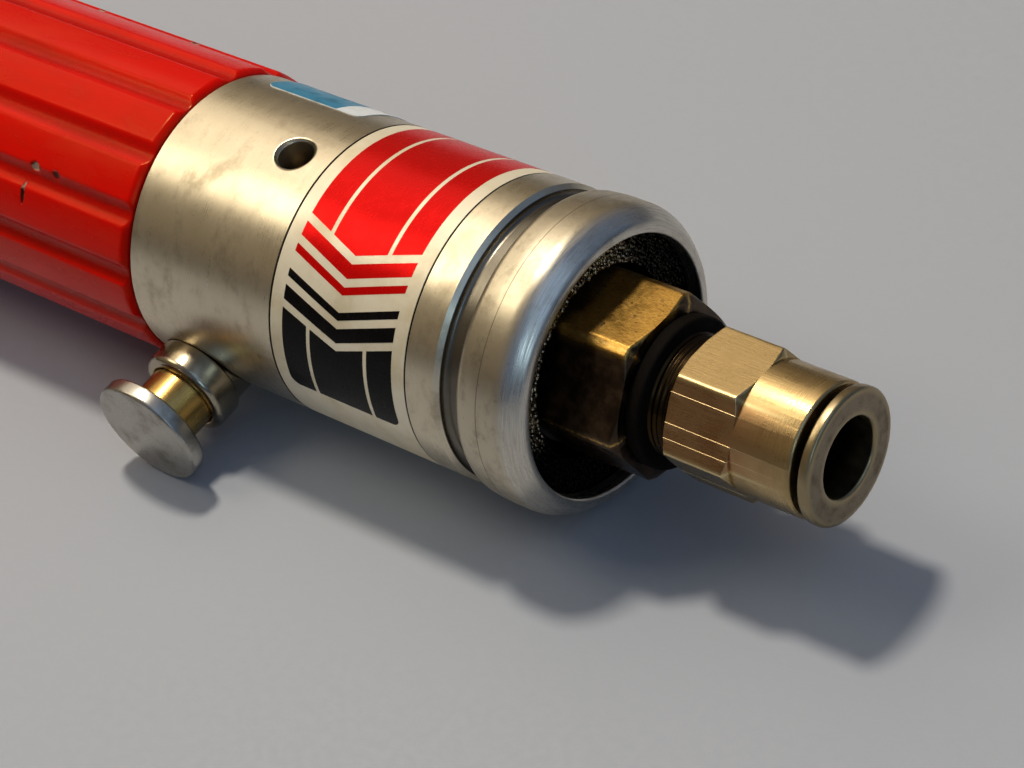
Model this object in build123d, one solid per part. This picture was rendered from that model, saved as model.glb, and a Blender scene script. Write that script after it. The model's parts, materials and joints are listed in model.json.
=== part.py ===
from build123d import *
import math
import os

# Straight pneumatic screwdriver with push start, lying on its grip and on the rim of its reverse button.
# Millimetres. The origin is the tip of the bit on the spindle axis, +X points forward and +Z is up.
# A station is a distance behind the bit's tip, so station 50 lies at x = -50.
# A turn is an angle about the tool axis, from the top towards +Y.

# Fits
RUNNING = 0.05              # radial clearance of a shaft that turns or slides in its bore
SEATED = 0.02               # radial clearance of pieces fixed in each other
END_FLOAT = 0.3             # axial room beside a piece that turns
STOP_GAP = 0.2              # room left at the end of a sliding piece's travel
ROD_CLEARANCE = 0.2         # radial room round the push rod

# Bit, bit holder and quick-change sleeve
BIT_LENGTH = 50.0
BIT_HEX = 6.35              # across flats
BIT_SHANK_RADIUS = 3.0
BIT_SHANK_LENGTH = 12.0
BIT_TIP_RADIUS = 1.1
BIT_TIP_LENGTH = 5.0
FLUTE_SLOPE = 20.0          # degrees that the tip's four flutes run out at
FLUTE_CORE = 0.55           # from the axis to a flute's floor at the tip
BIT_PROUD = 22.0            # of the holder's front face
BIT_GROOVE_RADIUS = 2.9
BALL_RADIUS = 1.6           # retaining ball
BALL_GAP = 0.1              # between the ball and the bit's groove
BALL_LIFT = 0.9             # outward travel that frees the bit
SLEEVE_TRAVEL = 3.0         # forward travel of the quick-change sleeve
SLEEVE_SETBACK = 1.5        # of the sleeve behind the holder's front face
SLEEVE_WALL = 0.9
SLEEVE_GUIDE = 2.2          # length of the sleeve's rear guide
SLEEVE_BEVEL = 0.45
SLEEVE_GROOVES = 5          # finger grooves round the sleeve
SLEEVE_GROOVE_PITCH = 1.9
SLEEVE_GROOVE_DEPTH = 0.3
CIRCLIP_SETBACK = 3.0
CIRCLIP_THICKNESS = 0.8
CIRCLIP_DEPTH = 0.6         # of its groove in the holder
CHUCK_SPRING_LENGTH = 9.0
CHUCK_SPRING_WIRE = 0.45    # wire radius
CHUCK_SPRING_TURNS = 5
RIDGE_LENGTH = 2.7          # of the sleeve's inner ridge, from the spring to the ball
HOLDER_FLANGE = 2.0
HOLDER_FLANGE_HEIGHT = 1.5

# Spindle and nose
SPINDLE_HEX = 8.0           # across flats of the sliding tail
SPINDLE_STEP = 0.38         # from the hexagon's corners to the round spindle
SPINDLE_TAIL = 20.0
PUSH_TRAVEL = 4.0           # of the spindle when the tool is pressed on a screw
NOSE_GAP = 1.4              # left between holder and nose when pressed
NOSE_LENGTH = 20.0
NOSE_STRAIGHT = 11.0        # length of the nose's slender front
NOSE_WALL = 1.5
NOSE_SPIGOT = 6.0
NOSE_SPIGOT_WALL = 1.5
NOSE_BUSH_WALL = 2.45
NOSE_BUSH_LENGTH = 15.0
NOSE_LIP = 1.0
WASHER_THICKNESS = 1.0

# Ball clutch
CLUTCH_SHAFT_WALL = 1.8
CLUTCH_NUT_SETBACK = 2.7
CLUTCH_NUT_THICKNESS = 5.0
CLUTCH_NUT_HOLES = 4
CLUTCH_NUT_HOLE_RADIUS = 1.25
CLUTCH_NUT_HOLE_DEPTH = 2.5
CLUTCH_SPRING_LENGTH = 12.0
CLUTCH_SPRING_WIRE = 1.0
CLUTCH_SPRING_TURNS = 4
CLUTCH_PLATE_THICKNESS = 4.4
CLUTCH_PLATE_GAP = 1.2
CLUTCH_DRIVER_THICKNESS = 4.4
CLUTCH_BALL_RADIUS = 1.6
CLUTCH_BALL_COUNT = 6
CLUTCH_GAP = 0.5
CLUTCH_WALL = 2.0           # of the clutch housing
CLUTCH_REAR_GAP = 0.6
GRIP_STEP = 1.5             # from the clutch housing out to the grip

# Epicyclic gear
MODULE = 0.5
SUN_TEETH = 12
PLANET_TEETH = 15
PLANET_COUNT = 3
PRESSURE_ANGLE = math.radians(20)
ADDENDUM = 0.4
DEDENDUM = 0.6
BACKLASH = 0.08             # taken off each tooth at the pitch circle
FLANK_POINTS = 4
GEAR_WIDTH = 9.0
GEAR_SIDE_GAP = 0.4
RING_WALL = 1.96
PLANET_PIN_RADIUS = 1.5
CARRIER_GAP = 0.7
SUN_ROOM = 1.0              # radial room round the sun pinion in the carrier's rear plate
CARRIER_FRONT_PLATE = 4.0
CARRIER_REAR_PLATE = 2.0
CARRIER_PILLAR_RADIUS = 1.3
CARRIER_PILLAR_EDGE = 0.9
CARRIER_BUSH_WALL = 2.95
CARRIER_BUSH_LENGTH = 8.0
CARRIER_BUSH_FLANGE = 2.2

# Vane motor
GRIP_LENGTH = 90.0
GRIP_WALL = 1.8
GRIP_BEVEL = 0.5
GRIP_FLUTES = 15
GRIP_FLUTE_WIDTH = 2.5
GRIP_FLUTE_DEPTH = 0.65
GRIP_FLUTE_TURN = 6.0       # degrees, of the first flute
CASE_WALL = 1.6
CASE_OVERLAP = 3.0          # of the clutch housing's inner wall into the case
CASE_SPIGOT = 8.0           # of the clutch housing and of the rear housing in the case
END_PLATE_THICKNESS = 8.0
END_PLATE_WALL = 2.0
SHAFT_RADIUS = 4.0
SHAFT_ROOM = 0.5
BEARING_SECTION = 4.0       # from the bearing's bore to its outside
BEARING_WIDTH = 5.0
BEARING_RACE = 1.1
BEARING_BALL_RADIUS = 1.2
BEARING_BALL_COUNT = 7
CYLINDER_WALL = 1.86        # where the cylinder is thinnest
ECCENTRICITY = 1.2
ROTOR_GAP = 0.3
VANE_COUNT = 5
VANE_THICKNESS = 1.5
VANE_HEIGHT = 3.8
EXHAUST_SLOTS = 3
EXHAUST_SLOT_RADIUS = 2.0
EXHAUST_SLOT_PITCH = 9.0
EXHAUST_CHANNEL_WIDTH = 8.0
EXHAUST_CHANNEL_DEPTH = 0.9

# Rear housing
HOUSING_LENGTH = 43.3
HOUSING_STEP = 0.5          # from the housing out to the grip
HOUSING_WALL = 1.3
HOUSING_BEVEL = 0.5
GROOVE_LENGTH = 2.3
GROOVE_DEPTH = 1.2
GROOVE_ROUND = 0.6
END_SPIGOT = 6.7
END_SPIGOT_WALL = 1.6
EXHAUST_SETBACK = 30.0      # from the grip joint to the exhaust chamber
EXHAUST_HOLE_RADIUS = 1.5
EXHAUST_HOLE_TURNS = (-38.0, 38.0)
BOSS_WALL = 3.2             # round the valve chamber
BOSS_SETBACK = 0.5
TOMMY_HOLE_RADIUS = 2.0
TOMMY_HOLE_DEPTH = 5.0
TOMMY_HOLE_SETBACK = 16.0
TOMMY_HOLE_TURN = 8.3
TOMMY_HOLE_CHAMFER = 0.35
LABEL_SETBACK = 20.6
LABEL_WIDTH = 18.6
LABEL_THICKNESS = 0.14
STICKER_SETBACK = 3.6
STICKER_WIDTH = 13.4
STICKER_THICKNESS = 0.1
STICKER_TURN = -23.5
STICKER_SPAN = 42.5

# Start valve
PUSH_ROD_RADIUS = 1.2
CHAMBER_SETBACK = 22.0
CHAMBER_RADIUS = 6.0
CHAMBER_FORE_DEPTH = 2.0
CHAMBER_FORE_STEP = 1.0
SEAT_THICKNESS = 2.0
SEAT_HOLE_RADIUS = 2.6
SEAL_THICKNESS = 0.8
POPPET_THICKNESS = 2.4
POPPET_ROOM = 0.8           # radial room for the air round the valve
VALVE_SPRING_LENGTH = 11.0
VALVE_SPRING_WIRE = 0.45
VALVE_SPRING_TURNS = 5
SUPPLY_HOLE_RADIUS = 1.2
SUPPLY_HOLE_DROP = 4.1      # below the tool axis

# Reverse button, on a cross axis that passes below the push rod
BUTTON_SETBACK = 6.2
BUTTON_OFFSET = 7.0
BUTTON_TRAVEL = 4.0
BUTTON_HEAD_RADIUS = 6.5
BUTTON_HEAD_THICKNESS = 2.0
BUTTON_HEAD_CHAMFER = 0.5
BUTTON_STEM_RADIUS = 3.9
BUTTON_SPOOL_RADIUS = 4.45
BUTTON_WAIST_RADIUS = 2.6
BUTTON_LAND = 3.5           # length of the spool's end lands
GUIDE_RADIUS = 5.2
GUIDE_REACH = 19.2          # from the button axis' foot to the guide's face
GUIDE_LENGTH = 6.4
GUIDE_CHAMFER = 0.5
BUTTON_SPRING_WIRE = 0.35
BUTTON_SPRING_TURNS = 5
BUTTON_SPRING_POCKET = 3.3
BUTTON_SPRING_DEPTH = 4.8   # of the pocket in the spool's end
PORT_RADIUS = 1.3
PORT_SPREAD = 6.5

# Exhaust end and air inlet
END_RING_PROUD = 0.5        # of the housing
END_RING_FOOT = 1.45        # wall where it meets the groove
END_RING_SLOPE = 2.6
END_RING_CROWN = 3.3
END_RING_LIP = 1.8
END_RING_LIP_WALL = 1.0
END_RING_MOUTH = 0.9        # radial step of the lip over the silencer
END_RING_ROUND = 3.0
END_RING_LIP_ROUND = 1.2
SILENCER_THICKNESS = 1.6
SILENCER_HOLE_GAP = 0.2
INLET_HEX = 17.5
INLET_HEX_LENGTH = 10.8
INLET_HEX_CHAMFER = 1.2
INLET_BORE_RADIUS = 3.8
INLET_THREAD_RADIUS = 5.0
INLET_THREAD_DEPTH = 8.3
STRAINER_THICKNESS = 1.0
STRAINER_HOLE_RADIUS = 0.45
STRAINER_RINGS = ((1.3, 6), (2.5, 12))      # radius of each ring of holes, and how many it has
INLET_WASHER_RADIUS = 8.0
INLET_WASHER_THICKNESS = 1.7
FITTING_NECK_RADIUS = 6.5
FITTING_NECK_LENGTH = 2.5
FITTING_HEX = 14.0
FITTING_HEX_LENGTH = 7.7
FITTING_HEX_CHAMFER = 0.8
FITTING_RADIUS = 7.05
FITTING_LENGTH = 6.9
FITTING_CHAMFER = 0.5
FITTING_AIR_RADIUS = 2.8
HOSE_RADIUS = 4.2           # bore for an 8 mm hose
HOSE_DEPTH = 13.2
COLLET_WALL = 0.9
COLLET_LENGTH = 5.0
COLLET_TRAVEL = 0.7
COLLET_FLANGE_RADIUS = 7.13
COLLET_FLANGE_THICKNESS = 1.2
COLLET_CHAMFER = 0.3
FITTING_SEAL_WIRE = 0.7

# Radii worked out from the inside to the outside
hex_corner = SPINDLE_HEX / math.sqrt(3)
spindle_radius = hex_corner + SPINDLE_STEP
sun_radius = MODULE * SUN_TEETH / 2
planet_radius = MODULE * PLANET_TEETH / 2
orbit_radius = sun_radius + planet_radius
ring_teeth = SUN_TEETH + 2 * PLANET_TEETH
ring_radius = MODULE * ring_teeth / 2
stack_radius = ring_radius + DEDENDUM + RING_WALL
case_bore = stack_radius + SEATED
case_radius = case_bore + CASE_WALL
grip_bore = case_radius + SEATED
grip_radius = grip_bore + GRIP_WALL
housing_radius = grip_radius - HOUSING_STEP
clutch_housing_radius = grip_radius - GRIP_STEP
clutch_bore = clutch_housing_radius - CLUTCH_WALL
nose_spigot_bore = clutch_bore - SEATED - NOSE_SPIGOT_WALL
clutch_plate_radius = nose_spigot_bore - CLUTCH_GAP
clutch_hex_bore = SPINDLE_HEX + 2 * RUNNING
clutch_shaft_radius = clutch_hex_bore / math.sqrt(3) + CLUTCH_SHAFT_WALL
clutch_ball_orbit = (clutch_shaft_radius + clutch_plate_radius) / 2
rod_bore = PUSH_ROD_RADIUS + ROD_CLEARANCE
bearing_radius = SHAFT_RADIUS + BEARING_SECTION
cylinder_bore = stack_radius - CYLINDER_WALL - ECCENTRICITY
rotor_radius = cylinder_bore - ECCENTRICITY - ROTOR_GAP
carrier_radius = ring_radius - ADDENDUM - CARRIER_GAP
carrier_bush_radius = spindle_radius + RUNNING + CARRIER_BUSH_WALL
nose_bush_radius = spindle_radius + RUNNING + NOSE_BUSH_WALL
end_spigot_radius = housing_radius - GROOVE_DEPTH
exhaust_radius = end_spigot_radius - END_SPIGOT_WALL
boss_radius = CHAMBER_RADIUS + BOSS_WALL
ball_orbit = BIT_GROOVE_RADIUS + BALL_GAP + BALL_RADIUS
holder_radius = ball_orbit + BALL_RADIUS
sleeve_bore = holder_radius + RUNNING
sleeve_recess = holder_radius + BALL_LIFT + STOP_GAP
sleeve_pocket = sleeve_recess + 2 * RUNNING + STOP_GAP
sleeve_radius = sleeve_pocket + SLEEVE_WALL
bit_socket = BIT_HEX + 2 * RUNNING

# Stations worked out from the front to the rear
holder_front = BIT_PROUD
sleeve_front = holder_front + SLEEVE_SETBACK
circlip_front = holder_front + CIRCLIP_SETBACK
circlip_rear = circlip_front + CIRCLIP_THICKNESS
ridge_front = circlip_rear + CHUCK_SPRING_LENGTH
ball_station = ridge_front + RIDGE_LENGTH
recess_rear = ball_station + SLEEVE_TRAVEL + BALL_RADIUS + STOP_GAP
sleeve_rear = recess_rear + SLEEVE_GUIDE
flange_front = sleeve_rear + STOP_GAP
flange_rear = flange_front + HOLDER_FLANGE
nose_front = flange_rear + PUSH_TRAVEL + NOSE_GAP
nose_rear = nose_front + NOSE_LENGTH
spindle_rear = nose_rear + SPINDLE_TAIL
washer_rear = nose_rear + WASHER_THICKNESS
clutch_shaft_front = washer_rear + END_FLOAT
tail_front = clutch_shaft_front - PUSH_TRAVEL - STOP_GAP
nut_front = clutch_shaft_front + CLUTCH_NUT_SETBACK
nut_rear = nut_front + CLUTCH_NUT_THICKNESS
plate_front = nut_rear + CLUTCH_SPRING_LENGTH
plate_rear = plate_front + CLUTCH_PLATE_THICKNESS
clutch_ball_station = plate_rear + CLUTCH_PLATE_GAP / 2
driver_front = plate_rear + CLUTCH_PLATE_GAP
driver_rear = driver_front + CLUTCH_DRIVER_THICKNESS
clutch_shaft_rear = driver_front - STOP_GAP
wall_front = driver_rear + CLUTCH_REAR_GAP
wall_rear = wall_front + CARRIER_BUSH_LENGTH
carrier_front = wall_rear + CARRIER_BUSH_FLANGE + END_FLOAT
gear_front = carrier_front + CARRIER_FRONT_PLATE + GEAR_SIDE_GAP
gear_rear = gear_front + GEAR_WIDTH
carrier_rear_plate = gear_rear + GEAR_SIDE_GAP
carrier_rear = carrier_rear_plate + CARRIER_REAR_PLATE
grip_front = wall_rear - CASE_OVERLAP
grip_rear = grip_front + GRIP_LENGTH
ring_front = grip_front + CASE_SPIGOT
ring_rear = carrier_rear + END_FLOAT
cylinder_front = ring_rear + END_PLATE_THICKNESS
rear_spigot_front = grip_rear - CASE_SPIGOT
cylinder_rear = rear_spigot_front - END_PLATE_THICKNESS
front_bearing_rear = cylinder_front - END_PLATE_WALL
rear_bearing_front = cylinder_rear + END_PLATE_WALL
housing_rear = grip_rear + HOUSING_LENGTH
end_ring_front = housing_rear + GROOVE_LENGTH
end_spigot_rear = housing_rear + END_SPIGOT
silencer_rear = end_spigot_rear + SILENCER_THICKNESS
end_ring_rear = silencer_rear + STOP_GAP / 2 + END_RING_LIP
boss_rear = end_spigot_rear - BOSS_SETBACK
chamber_front = grip_rear + CHAMBER_SETBACK
seat_rear = chamber_front + SEAT_THICKNESS
seal_front = seat_rear + STOP_GAP
poppet_front = seal_front + SEAL_THICKNESS
poppet_rear = poppet_front + POPPET_THICKNESS
inlet_front = poppet_rear + VALVE_SPRING_LENGTH
inlet_hex_rear = boss_rear + INLET_HEX_LENGTH
inlet_washer_rear = inlet_hex_rear + INLET_WASHER_THICKNESS
fitting_hex_front = inlet_washer_rear + FITTING_NECK_LENGTH
fitting_hex_rear = fitting_hex_front + FITTING_HEX_LENGTH
fitting_rear = fitting_hex_rear + FITTING_LENGTH
collet_flange_front = fitting_rear + COLLET_TRAVEL + STOP_GAP
collet_rear = collet_flange_front + COLLET_FLANGE_THICKNESS
hose_stop = collet_rear - HOSE_DEPTH
collet_front = collet_flange_front - COLLET_LENGTH
collet_pocket_front = collet_front - COLLET_TRAVEL - STOP_GAP

# Reaches along the button's axis, outwards from the point nearest the tool axis
button_bore = BUTTON_SPOOL_RADIUS + RUNNING
inner_radius = housing_radius - HOUSING_WALL
bore_bottom = -math.sqrt(inner_radius ** 2 - (BUTTON_OFFSET + button_bore) ** 2)
pocket_bottom = -math.sqrt(inner_radius ** 2 - (BUTTON_OFFSET + BUTTON_SPRING_POCKET) ** 2)
spool_inner = bore_bottom + BUTTON_TRAVEL + STOP_GAP
guide_inner = GUIDE_REACH - GUIDE_LENGTH
spool_outer = guide_inner - STOP_GAP
head_inner = GUIDE_REACH + BUTTON_TRAVEL + STOP_GAP
head_outer = head_inner + BUTTON_HEAD_THICKNESS

# The tool rolls until the rim of the button's head meets the surface that the grip lies on
rim_drop = BUTTON_OFFSET + BUTTON_HEAD_RADIUS
button_lean = math.asin(grip_radius / math.hypot(head_outer, rim_drop)) - math.atan2(rim_drop, head_outer)
button_out = Vector(0, math.cos(button_lean), -math.sin(button_lean))
button_down = Vector(0, -math.sin(button_lean), -math.cos(button_lean))
button_foot = Vector(-(grip_rear + BUTTON_SETBACK), 0, 0) + button_down * BUTTON_OFFSET
button_place = Location(Plane(origin=button_foot, x_dir=-button_out, z_dir=(1, 0, 0)))


def turned(*profile, rounds=None, arc=360):
    """Body turned about the tool axis from (station, radius) corners; rounds gives corners their fillets."""
    section = make_face(Polyline(*[(-station, radius) for station, radius in profile], close=True))
    for (station, radius), fillet_radius in (rounds or {}).items():
        corner = section.vertices().sort_by_distance((-station, radius, 0))[0]
        section = fillet(corner, fillet_radius)
    return revolve(section, Axis.X, revolution_arc=arc)


def tube(front, rear, bore, radius):
    """Plain ring between two stations."""
    return turned((front, bore), (front, radius), (rear, radius), (rear, bore))


def rod(front, rear, radius):
    """Plain round bar between two stations."""
    return turned((front, 0), (front, radius), (rear, radius), (rear, 0))


def prism(section, front, rear):
    """Cross-section, drawn as seen from the front, drawn out between two stations."""
    return extrude(Plane.YZ.offset(-rear) * section, amount=rear - front)


def hexagon(across_flats, turn=0.0):
    """Hexagonal cross-section with a flat on top at turn zero."""
    return Rot(Z=turn) * RegularPolygon(across_flats / 2, 6, major_radius=False)


def hex_bar(across_flats, front, rear, chamfer_length, turn=0.0):
    """Hexagonal bar whose corners are turned off at both ends."""
    corner = across_flats / math.sqrt(3) + SEATED
    face_radius = corner - chamfer_length
    slope = chamfer_length * math.tan(math.radians(30))
    envelope = turned((front, 0), (front, face_radius), (front + slope, corner),
                      (rear - slope, corner), (rear, face_radius), (rear, 0))
    return prism(hexagon(across_flats, turn), front, rear) & envelope


def around(turn, radius):
    """Point of the cross-section at a turn about the axis."""
    angle = math.radians(turn)
    return radius * math.sin(angle), radius * math.cos(angle)


def drilled(front, rear, radius, places):
    """Round bars along the axis at the given places of the cross-section."""
    return Compound([Pos(0, y, z) * rod(front, rear, radius) for y, z in places])


def ring_of_balls(station, orbit, radius, count):
    """Balls spaced evenly round the axis, each with its seam on the plane across the axis."""
    ball = Rot(Z=90) * Sphere(radius)
    return [Pos(-station, *around(360 * number / count, orbit)) * ball for number in range(count)]


def coil_spring(front, rear, mean_radius, wire, turns):
    """Open coil of round wire between two stations, led through quarter turns."""
    first = front + wire
    pitch = (rear - front - 2 * wire) / turns

    def on_coil(quarters):
        return (-first - pitch * quarters / 4, *around(90 * quarters, mean_radius))

    arcs = [ThreePointArc(on_coil(quarter), on_coil(quarter + 0.5), on_coil(quarter + 1))
            for quarter in range(4 * turns)]
    path = Wire(arcs)
    return sweep(Plane(origin=path @ 0, z_dir=path % 0) * Circle(wire), path=path)


def involute(angle):
    """Involute function of a pressure angle."""
    return math.tan(angle) - angle


def gear_section(teeth, root, tip, backlash, turn=0.0):
    """Involute gear cross-section with a tooth at the given turn; negative backlash widens the teeth."""
    pitch_radius = MODULE * teeth / 2
    base = pitch_radius * math.cos(PRESSURE_ANGLE)
    foot = max(root, base)
    flank = [root] if root < base else []
    flank += [foot + (tip - foot) * step / (FLANK_POINTS - 1) for step in range(FLANK_POINTS)]

    def half_tooth(radius):
        at_pitch = math.pi / (2 * teeth) - backlash / (2 * pitch_radius)
        swing = involute(PRESSURE_ANGLE) - involute(math.acos(min(1.0, base / radius)))
        return math.degrees(at_pitch + swing)

    corners = []
    for tooth in range(teeth):
        middle = turn + 360 * tooth / teeth
        corners += [around(middle - half_tooth(radius), radius) for radius in flank]
        corners += [around(middle + half_tooth(radius), radius) for radius in reversed(flank)]
    return make_face(Polyline(*corners, close=True))


def screwdriver_bit():
    """Hexagonal bit with a turned-down shank, a retaining groove and a cross-slot point."""
    bar = hex_bar(BIT_HEX, BIT_SHANK_LENGTH, BIT_LENGTH, BIT_HEX / 2 * (2 / math.sqrt(3) - 1))
    point = turned((0, 0), (0, BIT_TIP_RADIUS), (BIT_TIP_LENGTH, BIT_SHANK_RADIUS),
                   (BIT_SHANK_LENGTH, BIT_SHANK_RADIUS), (BIT_SHANK_LENGTH, 0))
    half_groove = BALL_RADIUS + STOP_GAP
    groove = tube(ball_station - half_groove, ball_station + half_groove, BIT_GROOVE_RADIUS, BIT_HEX)
    wedge = make_face(Polyline((0, 0), (-BIT_HEX, BIT_HEX), (BIT_HEX, BIT_HEX), close=True))
    flute = Pos(0, 0, FLUTE_CORE) * Rot(Y=FLUTE_SLOPE) * prism(wedge, -BIT_TIP_LENGTH, 2 * BIT_SHANK_LENGTH)
    bit = bar + point - groove
    for turn in (45, 135, 225, 315):
        bit -= Rot(X=turn) * flute
    return bit


def bit_holder():
    """Spindle in one piece: quick-change holder, round shank and sliding hexagonal tail."""
    body = turned((holder_front, 0), (holder_front, holder_radius), (flange_front, holder_radius),
                  (flange_front, holder_radius + HOLDER_FLANGE_HEIGHT),
                  (flange_rear, holder_radius + HOLDER_FLANGE_HEIGHT),
                  (flange_rear, spindle_radius), (tail_front, spindle_radius), (tail_front, 0))
    body += prism(hexagon(SPINDLE_HEX), tail_front, spindle_rear)
    body -= prism(hexagon(bit_socket), holder_front, BIT_LENGTH + STOP_GAP)
    body -= tube(circlip_front, circlip_rear, holder_radius - CIRCLIP_DEPTH, 2 * holder_radius)
    ball_hole = Cylinder(BALL_RADIUS + RUNNING, holder_radius, align=(Align.CENTER, Align.CENTER, Align.MIN))
    return body - Pos(-ball_station, 0, BIT_HEX / 4) * ball_hole


def chuck_sleeve():
    """Knurled quick-change sleeve; its inner cone lets the ball out as it slides forward."""
    slope = BALL_LIFT / SLEEVE_TRAVEL
    cone_at_ball = ball_orbit + (BALL_RADIUS + RUNNING) * math.hypot(1, slope)
    cone_front = ball_station - (cone_at_ball - sleeve_bore) / slope
    cone_rear = ball_station + (sleeve_recess - cone_at_ball) / slope
    edge = sleeve_radius - SLEEVE_BEVEL
    body = turned((sleeve_front, sleeve_pocket), (sleeve_front, edge),
                  (sleeve_front + SLEEVE_BEVEL, sleeve_radius), (sleeve_rear - SLEEVE_BEVEL, sleeve_radius),
                  (sleeve_rear, edge), (sleeve_rear, sleeve_bore),
                  (recess_rear, sleeve_bore), (recess_rear, sleeve_recess), (cone_rear, sleeve_recess),
                  (cone_front, sleeve_bore), (ridge_front, sleeve_bore), (ridge_front, sleeve_pocket))
    floor = sleeve_radius - SLEEVE_GROOVE_DEPTH
    top = sleeve_radius + SLEEVE_GROOVE_DEPTH
    for groove in range(SLEEVE_GROOVES):
        middle = ridge_front + groove * SLEEVE_GROOVE_PITCH
        front = middle - SLEEVE_GROOVE_DEPTH
        rear = middle + SLEEVE_GROOVE_DEPTH
        body -= turned((middle, floor), (front, top), (rear, top))
    return body


def nose_piece():
    """Tapered nose, screwed into the front of the clutch housing."""
    front_radius = nose_bush_radius + SEATED + NOSE_WALL
    bush_rear = nose_front + NOSE_LIP + NOSE_BUSH_LENGTH
    clear_bore = spindle_radius + SHAFT_ROOM
    spigot_radius = clutch_bore - SEATED
    spigot_rear = nose_rear + NOSE_SPIGOT
    return turned((nose_front, clear_bore), (nose_front, front_radius),
                  (nose_front + NOSE_STRAIGHT, front_radius + NOSE_WALL), (nose_rear, clutch_housing_radius),
                  (nose_rear, spigot_radius), (spigot_rear, spigot_radius), (spigot_rear, nose_spigot_bore),
                  (nose_rear, nose_spigot_bore), (nose_rear, clear_bore), (bush_rear, clear_bore),
                  (bush_rear, nose_bush_radius + SEATED), (nose_front + NOSE_LIP, nose_bush_radius + SEATED),
                  (nose_front + NOSE_LIP, clear_bore))


def clutch_housing():
    """Housing of the ball clutch, with the carrier's bush in its rear wall and a spigot into the case."""
    bush_seat = carrier_bush_radius + SEATED
    gear_bore = carrier_radius + CARRIER_GAP
    return turned((nose_rear, clutch_bore), (nose_rear, clutch_housing_radius),
                  (grip_front, clutch_housing_radius), (grip_front, stack_radius), (ring_front, stack_radius),
                  (ring_front, gear_bore), (wall_rear, gear_bore), (wall_rear, bush_seat),
                  (wall_front, bush_seat), (wall_front, clutch_bore))


def clutch_shaft():
    """Output shaft of the clutch, with a hexagonal socket that drives the spindle's tail."""
    body = rod(clutch_shaft_front, clutch_shaft_rear, clutch_shaft_radius)
    return body - prism(hexagon(clutch_hex_bore), clutch_shaft_front, clutch_shaft_rear)


def clutch_nut():
    """Ring nut that sets the clutch spring, with holes for a pin spanner in its rim."""
    body = tube(nut_front, nut_rear, clutch_shaft_radius + SEATED, clutch_plate_radius)
    hole = Cylinder(CLUTCH_NUT_HOLE_RADIUS, 2 * CLUTCH_NUT_HOLE_DEPTH)
    for place in range(CLUTCH_NUT_HOLES):
        middle = Pos(-(nut_front + nut_rear) / 2, 0, clutch_plate_radius)
        body -= Rot(X=360 * place / CLUTCH_NUT_HOLES) * middle * hole
    return body


def clutch_half(blank):
    """One of the two clutch plates: its blank with pockets for the balls."""
    return blank - ring_of_balls(clutch_ball_station, clutch_ball_orbit, CLUTCH_BALL_RADIUS + SEATED,
                                 CLUTCH_BALL_COUNT)


def carrier_bush():
    """Flanged bronze bush in the clutch housing's rear wall."""
    flange_radius = carrier_bush_radius + CLUTCH_GAP
    bore = spindle_radius + RUNNING
    return turned((wall_front, bore), (wall_front, carrier_bush_radius), (wall_rear, carrier_bush_radius),
                  (wall_rear, flange_radius), (wall_rear + CARRIER_BUSH_FLANGE, flange_radius),
                  (wall_rear + CARRIER_BUSH_FLANGE, bore))


def planet_places():
    """Turns of the planets, evenly spaced from the top."""
    return [360 * planet / PLANET_COUNT for planet in range(PLANET_COUNT)]


def planet_carrier():
    """Carrier in one piece: two plates joined by pillars, output shaft and hexagon for the clutch driver."""
    body = rod(carrier_front, carrier_front + CARRIER_FRONT_PLATE, carrier_radius)
    body += rod(driver_rear, carrier_front, spindle_radius)
    body += prism(hexagon(SPINDLE_HEX), driver_front, driver_rear)
    body += tube(carrier_rear_plate, carrier_rear, sun_radius + ADDENDUM + SUN_ROOM, carrier_radius)
    pillar_orbit = carrier_radius - CARRIER_PILLAR_EDGE - CARRIER_PILLAR_RADIUS
    half_step = 180 / PLANET_COUNT
    for turn in planet_places():
        pillar_place = Pos(0, *around(turn + half_step, pillar_orbit))
        pin_place = Pos(0, *around(turn, orbit_radius))
        body += pillar_place * rod(carrier_front, carrier_rear, CARRIER_PILLAR_RADIUS)
        body -= pin_place * rod(carrier_front, carrier_rear, PLANET_PIN_RADIUS + SEATED)
    return body - rod(driver_front, carrier_rear, rod_bore)


def planet_gear(turn):
    """Planet wheel with a tooth pointing outwards into the ring gear."""
    wheel = gear_section(PLANET_TEETH, planet_radius - DEDENDUM, planet_radius + ADDENDUM, BACKLASH, turn)
    body = prism(wheel, gear_front, gear_rear) - rod(gear_front, gear_rear, PLANET_PIN_RADIUS + RUNNING)
    return Pos(0, *around(turn, orbit_radius)) * body


def ring_gear():
    """Internal gear, clamped in the case between the clutch housing and the front end plate."""
    spaces = gear_section(ring_teeth, ring_radius - ADDENDUM, ring_radius + DEDENDUM, -BACKLASH)
    return rod(ring_front, ring_rear, stack_radius) - prism(spaces, ring_front, ring_rear)


def bearing(front):
    """Ball bearing: outer ring, inner ring and balls."""
    rear = front + BEARING_WIDTH
    station = (front + rear) / 2
    orbit = SHAFT_RADIUS + BEARING_SECTION / 2
    track = Pos(-station, 0, 0) * Rot(Y=90) * Torus(orbit, BEARING_BALL_RADIUS + RUNNING)
    outer = tube(front, rear, bearing_radius - BEARING_RACE, bearing_radius) - track
    inner = tube(front, rear, SHAFT_RADIUS + SEATED, SHAFT_RADIUS + BEARING_RACE) - track
    return outer, inner, Compound(ring_of_balls(station, orbit, BEARING_BALL_RADIUS, BEARING_BALL_COUNT))


def end_plate(front, rear, pocket_front, pocket_rear):
    """End plate of the motor, with a pocket for its bearing."""
    body = tube(front, rear, SHAFT_RADIUS + SHAFT_ROOM, stack_radius)
    return body - rod(pocket_front, pocket_rear, bearing_radius + SEATED)


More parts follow.
